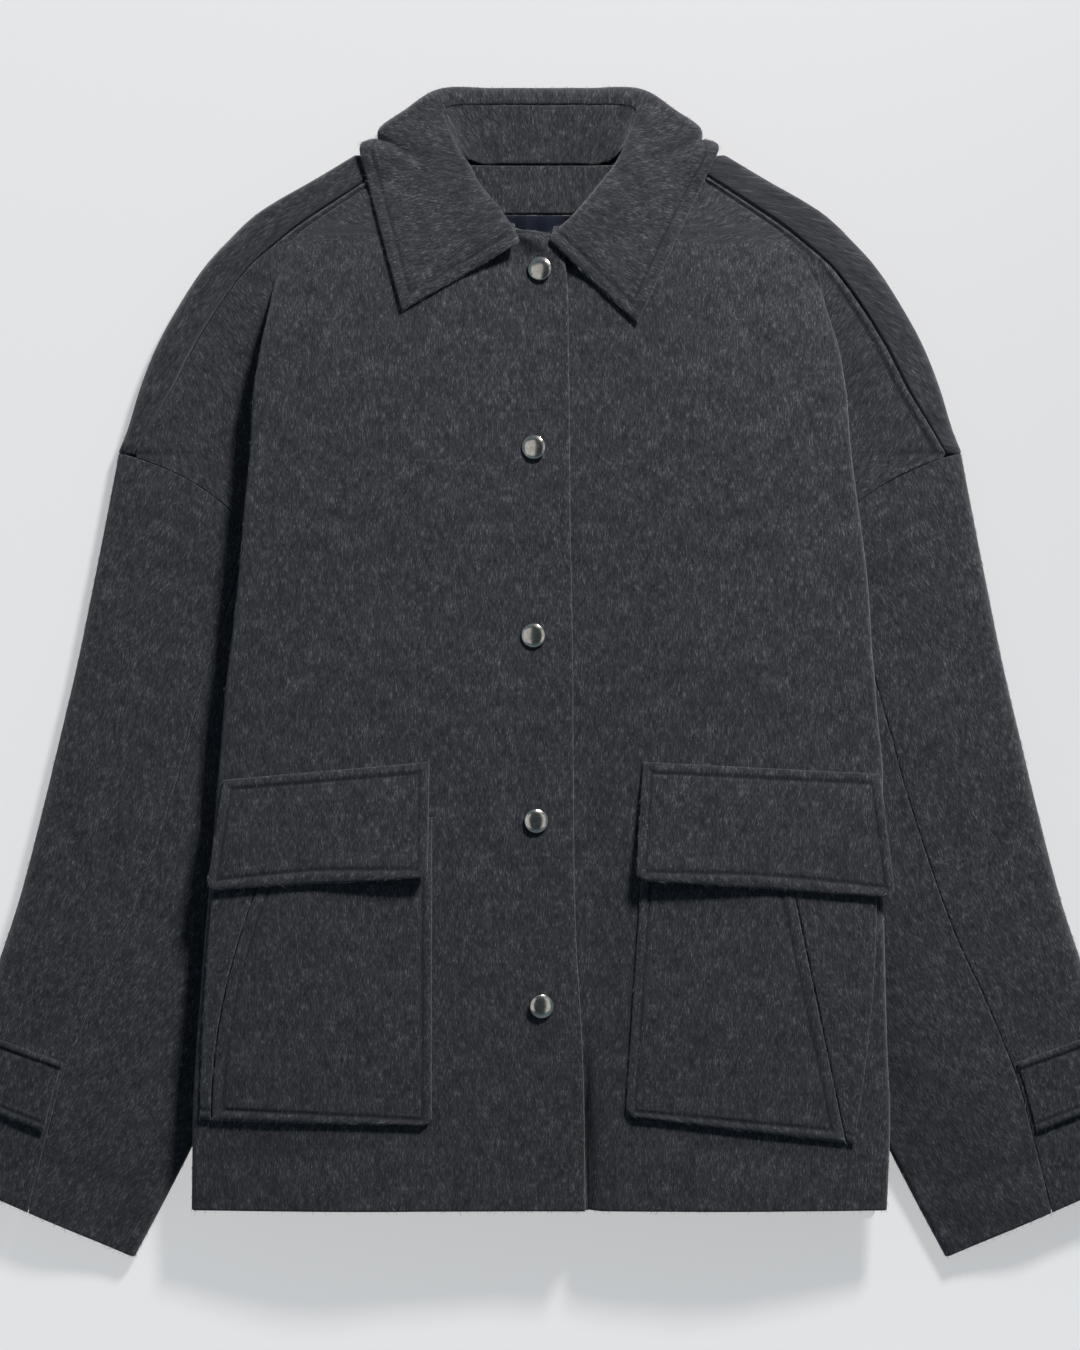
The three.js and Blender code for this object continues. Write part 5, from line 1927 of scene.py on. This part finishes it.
@dataclass(frozen=True)
class ThreadFinish(Finish):
    """Dark twisted sewing thread."""

    twist: float = 1800.0
    height: float = 0.0001
    strength: float = 0.5
    stops: tuple[Stop, ...] = ((0.3, (0.010, 0.012, 0.015)), (0.7, (0.030, 0.033, 0.039)))

    def paint(self, graph: Graph) -> tuple[object, object]:
        """Adds the nodes for the twisted strands.

        Args:
            graph: The material's nodes.

        Returns:
            The colour and the normal.
        """
        place = graph.add("ShaderNodeTexCoord").outputs["Object"]
        strands = graph.noise(place, self.twist, 1.0).outputs[0]
        return graph.ramp(strands, self.stops), graph.bump(strands, self.height, self.strength)


WOOL = BrushedWool(
    "brushed wool",
    0.95,
    specular=0.15,
    sheen=0.25,
    sheen_roughness=0.55,
    sheen_tint=(0.95, 0.96, 1.0),
)
HAIRS = HairFinish("loose wool hairs", 0.8, specular=0.2)
LINING = SatinFinish("lining satin", 0.33, specular=0.5, sheen=0.1)
NICKEL = NickelFinish("polished nickel", 0.17, metallic=1.0)
THREAD = ThreadFinish("sewing thread", 0.75, specular=0.2)


@dataclass(frozen=True)
class Setting:
    """A named input of a Geometry Nodes tree and its value."""

    name: str
    kind: str
    value: object


class Growth:
    """A Geometry Nodes tree that covers a piece, and what it makes."""

    def __init__(self, name: str, settings: Sequence[Setting]) -> None:
        """Makes the tree with its named inputs.

        Args:
            name: The tree's name.
            settings: Its inputs.
        """
        self.tree = bpy.data.node_groups.new(name, "GeometryNodeTree")
        self.graph = Graph(self.tree)
        self.settings = settings
        sockets = self.tree.interface
        sockets.new_socket("Geometry", in_out="INPUT", socket_type="NodeSocketGeometry")
        for setting in settings:
            sockets.new_socket(setting.name, in_out="INPUT", socket_type=setting.kind)
        sockets.new_socket("Geometry", in_out="OUTPUT", socket_type="NodeSocketGeometry")
        self.inputs = self.graph.add("NodeGroupInput").outputs

    def finish(self, instances: bpy.types.NodeSocket) -> None:
        """Ends the tree: the instances become one mesh with one material.

        Args:
            instances: The socket that gives the instances.
        """
        real = self.graph.add("GeometryNodeRealizeInstances", {"Geometry": instances})
        dressed = self.graph.add(
            "GeometryNodeSetMaterial",
            {"Geometry": real.outputs[0], "Material": self.inputs["Material"]},
        )
        self.graph.add("NodeGroupOutput", {"Geometry": dressed.outputs[0]})

    def grow(self, name: str, source: bpy.types.Object, changes: dict[str, object]) -> bpy.types.Object:
        """Runs the tree on an object's shape and keeps the result as a plain mesh.

        Args:
            name: Name of the new piece.
            source: The mesh or curve that it grows on.
            changes: Inputs that differ from the tree's own values.

        Returns:
            The new piece.
        """
        holder = bpy.data.objects.new(f"{name}_source", source.data)
        bpy.context.scene.collection.objects.link(holder)
        modifier = holder.modifiers.new("growth", "NODES")
        modifier.node_group = self.tree
        values = {setting.name: setting.value for setting in self.settings} | changes
        for item in self.tree.interface.items_tree:
            if item.in_out == "INPUT" and item.name in values:
                modifier[item.identifier] = values[item.name]
        graph = bpy.context.evaluated_depsgraph_get()
        mesh = bpy.data.meshes.new_from_object(holder.evaluated_get(graph), depsgraph=graph)
        holder.modifiers.remove(modifier)
        bpy.data.objects.remove(holder)
        mesh.name = name
        piece = bpy.data.objects.new(name, mesh)
        bpy.context.scene.collection.objects.link(piece)
        return piece


@dataclass(frozen=True)
class Stitching:
    """Rows of sunk stitches."""

    pitch: float = 3.5
    length: float = 2.7
    width: float = 0.42
    sides: int = 6
    rings: int = 4

    def tree(self, finish: bpy.types.Material) -> Growth:
        """Makes the tree that lays stitches along a curve.

        Args:
            finish: The thread.

        Returns:
            The tree.
        """
        growth = Growth(
            "stitches",
            [
                Setting("Pitch", "NodeSocketFloat", self.pitch * MM),
                Setting("Length", "NodeSocketFloat", self.length * MM),
                Setting("Width", "NodeSocketFloat", self.width * MM),
                Setting("Material", "NodeSocketMaterial", finish),
            ],
        )
        graph, inputs = growth.graph, growth.inputs
        points = graph.add(
            "GeometryNodeCurveToPoints",
            {"Curve": inputs["Geometry"], "Length": inputs["Pitch"]},
            mode="LENGTH",
        )
        lie = graph.add(
            "FunctionNodeAlignRotationToVector",
            {"Vector": points.outputs["Tangent"]},
            axis="Z",
        )
        stitch = graph.add(
            "GeometryNodeMeshUVSphere",
            {"Segments": self.sides, "Rings": self.rings, "Radius": 0.5},
        )
        size = graph.add(
            "ShaderNodeCombineXYZ",
            {"X": inputs["Width"], "Y": inputs["Width"], "Z": inputs["Length"]},
        )
        laid = graph.add(
            "GeometryNodeInstanceOnPoints",
            {
                "Points": points.outputs["Points"],
                "Instance": stitch.outputs["Mesh"],
                "Rotation": lie.outputs[0],
                "Scale": size.outputs[0],
            },
        )
        growth.finish(laid.outputs[0])
        return growth

    def sew(self, growth: Growth, cloth: Cloth) -> bpy.types.Object | None:
        """Sews one piece of cloth.

        Args:
            growth: The tree.
            cloth: The piece.

        Returns:
            The stitches, or None where it has none.
        """
        lines = cloth.thread_lines()
        if not lines:
            return None
        name = f"{cloth.name}_stitches"
        curve = bpy.data.curves.new(name, "CURVE")
        curve.dimensions = "3D"
        for line in lines:
            path = curve.splines.new("POLY")
            path.points.add(len(line) - 1)
            path.points.foreach_set("co", np.column_stack([world(line), np.ones(len(line))]).ravel())
        holder = bpy.data.objects.new(name, curve)
        piece = growth.grow(name, holder, {})
        bpy.data.objects.remove(holder)
        bpy.data.curves.remove(curve)
        return piece


@dataclass(frozen=True)
class Nap:
    """Loose hairs that lie on the brushed cloth."""

    density: float = 62000.0
    length: tuple[float, float] = (2.4, 5.2)
    width: float = 0.24
    tilt: tuple[float, float] = (3.0, 26.0)
    sway: float = 30.0
    tilt_seed: float = 11.0
    sway_seed: float = 23.0
    length_seed: float = 37.0

    def tree(self, finish: bpy.types.Material) -> Growth:
        """Makes the tree that scatters hairs on a piece of cloth.

        Args:
            finish: The hairs' material.

        Returns:
            The tree.
        """
        growth = Growth(
            "nap",
            [
                Setting("Density", "NodeSocketFloat", self.density),
                Setting("Shortest", "NodeSocketFloat", self.length[0] * MM),
                Setting("Longest", "NodeSocketFloat", self.length[1] * MM),
                Setting("Width", "NodeSocketFloat", self.width * MM),
                Setting("Lowest", "NodeSocketFloat", math.radians(self.tilt[0])),
                Setting("Highest", "NodeSocketFloat", math.radians(self.tilt[1])),
                Setting("Sway", "NodeSocketFloat", math.radians(self.sway)),
                Setting("Seed", "NodeSocketInt", 1),
                Setting("Material", "NodeSocketMaterial", finish),
            ],
        )
        graph, inputs = growth.graph, growth.inputs
        share = graph.attribute("nap_share", "FLOAT")
        lay = graph.attribute("nap", "FLOAT_VECTOR")
        density = graph.sum("MULTIPLY", share, inputs["Density"])
        points = graph.add(
            "GeometryNodeDistributePointsOnFaces",
            {"Mesh": inputs["Geometry"], "Density": density, "Seed": inputs["Seed"]},
            distribute_method="RANDOM",
        )
        up = graph.add(
            "FunctionNodeAlignRotationToVector",
            {"Vector": points.outputs["Normal"]},
            axis="Z",
        )
        along = graph.add(
            "FunctionNodeAlignRotationToVector",
            {"Rotation": up.outputs[0], "Vector": lay},
            axis="Y",
            pivot_axis="Z",
        )
        tilt = graph.chance(inputs["Lowest"], inputs["Highest"], inputs["Seed"], self.tilt_seed)
        back = graph.sum("MULTIPLY", inputs["Sway"], -1.0)
        yaw = graph.chance(back, inputs["Sway"], inputs["Seed"], self.sway_seed)
        turn = graph.add("ShaderNodeCombineXYZ", {"X": tilt, "Z": yaw})
        euler = graph.add("FunctionNodeEulerToRotation", {"Euler": turn.outputs[0]})
        laid = graph.add(
            "FunctionNodeRotateRotation",
            {"Rotation": along.outputs[0], "Rotate By": euler.outputs[0]},
            rotation_space="LOCAL",
        )
        hair = graph.add(
            "GeometryNodeMeshCone",
            {
                "Vertices": 3,
                "Side Segments": 1,
                "Fill Segments": 1,
                "Radius Top": 0.0,
                "Radius Bottom": 0.5,
                "Depth": 1.0,
            },
            fill_type="NGON",
        )
        level = graph.add(
            "GeometryNodeTransform",
            {"Geometry": hair.outputs["Mesh"], "Rotation": (-math.pi / 2, 0.0, 0.0)},
        )
        length = graph.chance(inputs["Shortest"], inputs["Longest"], inputs["Seed"], self.length_seed)
        size = graph.add("ShaderNodeCombineXYZ", {"X": inputs["Width"], "Y": length, "Z": inputs["Width"]})
        scattered = graph.add(
            "GeometryNodeInstanceOnPoints",
            {
                "Points": points.outputs["Points"],
                "Instance": level.outputs["Geometry"],
                "Rotation": laid.outputs[0],
                "Scale": size.outputs[0],
            },
        )
        growth.finish(scattered.outputs[0])
        return growth


@dataclass(frozen=True)
class Studio:
    """The surface that the jacket lies on, the light and the camera."""

    floor_size: float = 8.0
    floor_drop: float = 0.0003
    floor_colour: Colour = (0.40, 0.40, 0.40)
    floor_grain: float = 900.0
    floor_relief: float = 0.0002
    floor_strength: float = 0.1
    # Painted light: the surface glows more where the key light is weaker, which also lightens the shadows
    # cast on it.
    floor_glow: tuple[float, float, float, float] = (0.408, -0.152, -0.25, -0.221)
    glow_reach: float = 0.6
    key_at: tuple[float, float, float] = (0.75, 1.7, 1.28)
    key_aim: tuple[float, float, float] = (0.0, 0.0, 0.03)
    key_power: float = 66.0
    key_size: float = 0.4
    key_colour: Colour = (1.0, 0.975, 0.975)
    sky: Colour = (0.55, 0.82, 1.04)
    sky_strength: float = 0.24
    ceiling: tuple[float, float, float] = (0.72, 0.9, 0.06)
    boxes: tuple[tuple[float, float, float], ...] = (
        (-1.77, 2.46, 14.0),
        (2.2, 1.65, 9.0),
    )
    box_height: float = 3.0
    box_length: float = 3.0
    box_colour: Colour = (0.90, 0.96, 1.0)
    camera_at: tuple[float, float, float] = (0.0, -0.00165, 4.03)
    lens: float = 106.7
    sensor: float = 24.0

    def build(self) -> None:
        """Builds the surface, the light and the camera."""
        self._floor()
        self._light()
        self._camera()
        bpy.context.scene.view_settings.view_transform = "Standard"

    def _floor(self) -> None:
        """Adds the pale surface, which glows with painted light."""
        reach = self.floor_size / 2
        mesh = bpy.data.meshes.new("floor")
        turns = ((-1, -1), (1, -1), (1, 1), (-1, 1))
        corners = [(x * reach, y * reach, -self.floor_drop) for x, y in turns]
        mesh.from_pydata(corners, [], [(0, 1, 2, 3)])
        material = bpy.data.materials.new("pale surface")
        material.use_nodes = True
        graph = Graph(material.node_tree)
        place = graph.add("ShaderNodeTexCoord").outputs["Object"]
        grain = graph.noise(place, self.floor_grain, 2.0).outputs[0]
        inputs = {
            "Base Color": (*self.floor_colour, 1.0),
            "Roughness": 0.9,
            "Specular IOR Level": 0.1,
            "Normal": graph.bump(grain, self.floor_relief, self.floor_strength),
            "Emission Color": (1.0, 1.0, 1.0, 1.0),
            "Emission Strength": self._glow(graph, place),
        }
        surface = graph.add("ShaderNodeBsdfPrincipled", inputs)
        graph.add("ShaderNodeOutputMaterial", {"Surface": surface.outputs[0]})
        mesh.materials.append(material)
        floor = bpy.data.objects.new("floor", mesh)
        bpy.context.scene.collection.objects.link(floor)

    def _glow(self, graph: Graph, place: bpy.types.NodeSocket) -> bpy.types.NodeSocket:
        """Adds the nodes of the surface's painted glow, which keeps it evenly pale under the near key light
        and lightens the shadows cast on it.

        Args:
            graph: The surface's nodes.
            place: Its coordinates.

        Returns:
            The socket with the strength of its glow.
        """
        level, across, along, both = self.floor_glow
        apart = graph.add("ShaderNodeSeparateXYZ", {"Vector": place}).outputs
        limits = {"Min": -self.glow_reach, "Max": self.glow_reach}
        x, y = (graph.add("ShaderNodeClamp", {"Value": apart[axis], **limits}).outputs[0] for axis in "XY")
        slope = graph.sum("ADD", graph.sum("MULTIPLY", x, across), graph.sum("MULTIPLY", y, along))
        corner = graph.sum("MULTIPLY", graph.sum("MULTIPLY", x, y), both)
        return graph.sum("ADD", graph.sum("ADD", slope, corner), level)

    def _lamp(
        self,
        name: str,
        place: Sequence[float],
        size: float,
        power: float,
        colour: Colour,
    ) -> bpy.types.Object:
        """Adds one lamp, which is round and points at the jacket unless it is changed afterwards.

        Args:
            name: Its name.
            place: Where it hangs.
            size: Its diameter.
            power: Its power in watts.
            colour: Its colour.

        Returns:
            The lamp.
        """
        lamp = bpy.data.lights.new(name, "AREA")
        lamp.shape = "DISK"
        lamp.size = size
        lamp.energy = power
        lamp.color = colour
        holder = bpy.data.objects.new(name, lamp)
        holder.location = place
        away = Vector(place) - Vector(self.key_aim)
        holder.rotation_euler = away.to_track_quat("Z", "Y").to_euler()
        bpy.context.scene.collection.objects.link(holder)
        return holder

    def _light(self) -> None:
        """Adds the key light from the collar's side, the flat boxes of light and the room.

        Each box has its place across, its width and its power. Only shiny surfaces show it. The room
        is dimmer straight above, so that the caps are darker in the middle.
        """
        self._lamp("key light", self.key_at, self.key_size, self.key_power, self.key_colour)
        for number, (across, width, power) in enumerate(self.boxes, 1):
            place = (across, 0.0, self.box_height)
            box = self._lamp(f"metal light {number}", place, width, power, self.box_colour)
            box.data.shape = "RECTANGLE"
            box.data.size_y = self.box_length
            box.rotation_euler = (0.0, 0.0, 0.0)
            box.visible_diffuse = False
            box.visible_camera = False
        room = bpy.data.worlds.new("room")
        room.use_nodes = True
        graph = Graph(room.node_tree)
        direction = graph.add("ShaderNodeTexCoord").outputs["Generated"]
        upward = graph.add("ShaderNodeSeparateXYZ", {"Vector": direction}).outputs["Z"]
        start, end, dim = self.ceiling
        limits = {"From Min": start, "From Max": end, "To Min": self.sky_strength, "To Max": dim}
        strength = graph.add("ShaderNodeMapRange", {"Value": upward, **limits}).outputs[0]
        sky = graph.add("ShaderNodeBackground", {"Color": (*self.sky, 1.0), "Strength": strength})
        graph.add("ShaderNodeOutputWorld", {"Surface": sky.outputs[0]})
        bpy.context.scene.world = room

    def _camera(self) -> None:
        """Adds the camera, which looks straight down."""
        lens = bpy.data.cameras.new("camera")
        lens.sensor_fit = "VERTICAL"
        lens.sensor_height = self.sensor
        lens.lens = self.lens
        camera = bpy.data.objects.new("camera", lens)
        camera.location = self.camera_at
        bpy.context.scene.collection.objects.link(camera)
        bpy.context.scene.camera = camera


@dataclass(frozen=True)
class Cut:
    """The size that a piece of cloth was cut to, in metres, what it lies on and its solid."""

    node: str
    width: float
    length: float
    area: float
    rests_on: tuple[str, ...]


WOOL_SLOT = "wool"
FRONTS = ("right_front_panel", "left_front_panel")
LEFT_FRONT_RESTS_ON = ("back_panel", "left_sleeve_upper", "right_front_panel")
CUTS = {
    "back_panel": Cut("back", 0.625, 0.74, 0.379, ()),
    "right_front_panel": Cut("front_right", 0.365, 0.74, 0.209, ("back_panel", "right_sleeve_upper")),
    "left_front_panel": Cut("front_left", 0.345, 0.74, 0.198, LEFT_FRONT_RESTS_ON),
    "right_sleeve_under": Cut("sleeve_right_under", 0.23, 0.5, 0.094, ("back_panel",)),
    "right_sleeve_upper": Cut("sleeve_right_upper", 0.165, 0.5, 0.064, ("right_sleeve_under",)),
    "left_sleeve_under": Cut("sleeve_left_under", 0.23, 0.5, 0.094, ("back_panel",)),
    "left_sleeve_upper": Cut("sleeve_left_upper", 0.165, 0.5, 0.064, ("left_sleeve_under",)),
    "collar_stand_band": Cut("collar_stand", 0.35, 0.045, 0.0065, ("back_panel", *FRONTS)),
    "collar_leaf": Cut("collar", 0.53, 0.092, 0.033, FRONTS),
    "back_neck_facing": Cut("neck_facing", 0.114, 0.033, 0.0037, ("back_panel",)),
    "back_neck_lining": Cut("neck_lining", 0.14, 0.066, 0.0092, ("back_panel",)),
    "right_pocket_cloth": Cut("pocket_right", 0.148, 0.221, 0.0241, ("right_front_panel",)),
    "right_pocket_side_cloth": Cut("pocket_side_right", 0.064, 0.221, 0.0083, ("right_front_panel",)),
    "right_flap_cloth": Cut("flap_right", 0.173, 0.086, 0.0133, ("right_pocket_cloth",)),
    "left_pocket_cloth": Cut("pocket_left", 0.148, 0.208, 0.025, ("left_front_panel",)),
    "left_pocket_side_cloth": Cut("pocket_side_left", 0.041, 0.208, 0.0047, ("left_front_panel",)),
    "left_flap_cloth": Cut("flap_left", 0.148, 0.081, 0.0106, ("left_pocket_cloth",)),
    "right_cuff_tab": Cut("tab_right", 0.061, 0.048, 0.0028, ("right_sleeve_upper",)),
    "left_cuff_tab": Cut("tab_left", 0.061, 0.048, 0.0028, ("left_sleeve_upper",)),
}


class Jacket:
    """The whole jacket."""

    def __init__(self) -> None:
        """Makes the finishes and the trees that sew and brush the cloth."""
        self.wool = WOOL.make()
        self.lining = LINING.make()
        self.nickel = NICKEL.make()
        self.stitching = Stitching()
        self.nap = Nap()
        self.thread = self.stitching.tree(THREAD.make())
        self.hairs = self.nap.tree(HAIRS.make())

    def place(self, cloth: Cloth, material: bpy.types.Material, slot: str, order: int) -> None:
        """Builds one piece of cloth with its stitches and its nap.

        Args:
            cloth: The piece.
            material: Its finish.
            slot: Which finish it has; only wool grows nap.
            order: Its place in the order of work, which also seeds its nap.
        """
        piece = cloth.build(material)
        cut = CUTS[cloth.name]
        with_pieces = []
        stitches = self.stitching.sew(self.thread, cloth)
        if stitches:
            with_pieces.append(stitches)
        if slot == WOOL_SLOT:
            with_pieces.append(self.hairs.grow(f"{cloth.name}_nap", piece, {"Seed": order}))
        for part in (piece, *with_pieces):
            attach(part, BODY)
        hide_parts(cut.node)
        LOG.info("%s placed with %d pieces on it", cloth.name, len(with_pieces))

    def build(self) -> None:
        """Builds every piece in the order in which they lie."""
        fronts, sleeves, tabs = Fronts(), Sleeves(), CuffTabs()
        cloths = [Back().cloth()]
        cloths += [fronts.cloth(side) for side in SIDES]
        cloths += [sleeves.cloth(side, panel) for side in SIDES for panel in ("under", "upper")]
        cloths += list(Collar().cloths())
        facing, satin = NeckInside().cloths()
        cloths.append(facing)
        cloths += [pocket.cloth(part) for pocket in POCKETS for part in PocketPart]
        cloths += [tabs.cloth(side) for side in SIDES]
        for order, cloth in enumerate(cloths, 1):
            self.place(cloth, self.wool, WOOL_SLOT, order)
        self.place(satin, self.lining, "satin", 0)
        for cap, node in Snaps().build(self.nickel, tabs):
            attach(cap, BODY)
            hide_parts(node)
            LOG.info("%s placed", cap.name)


def main() -> None:
    """Builds the jacket and its studio."""
    logging.basicConfig(level=logging.INFO, format="%(message)s")
    Jacket().build()
    Studio().build()


if __name__ == "__main__":
    main()
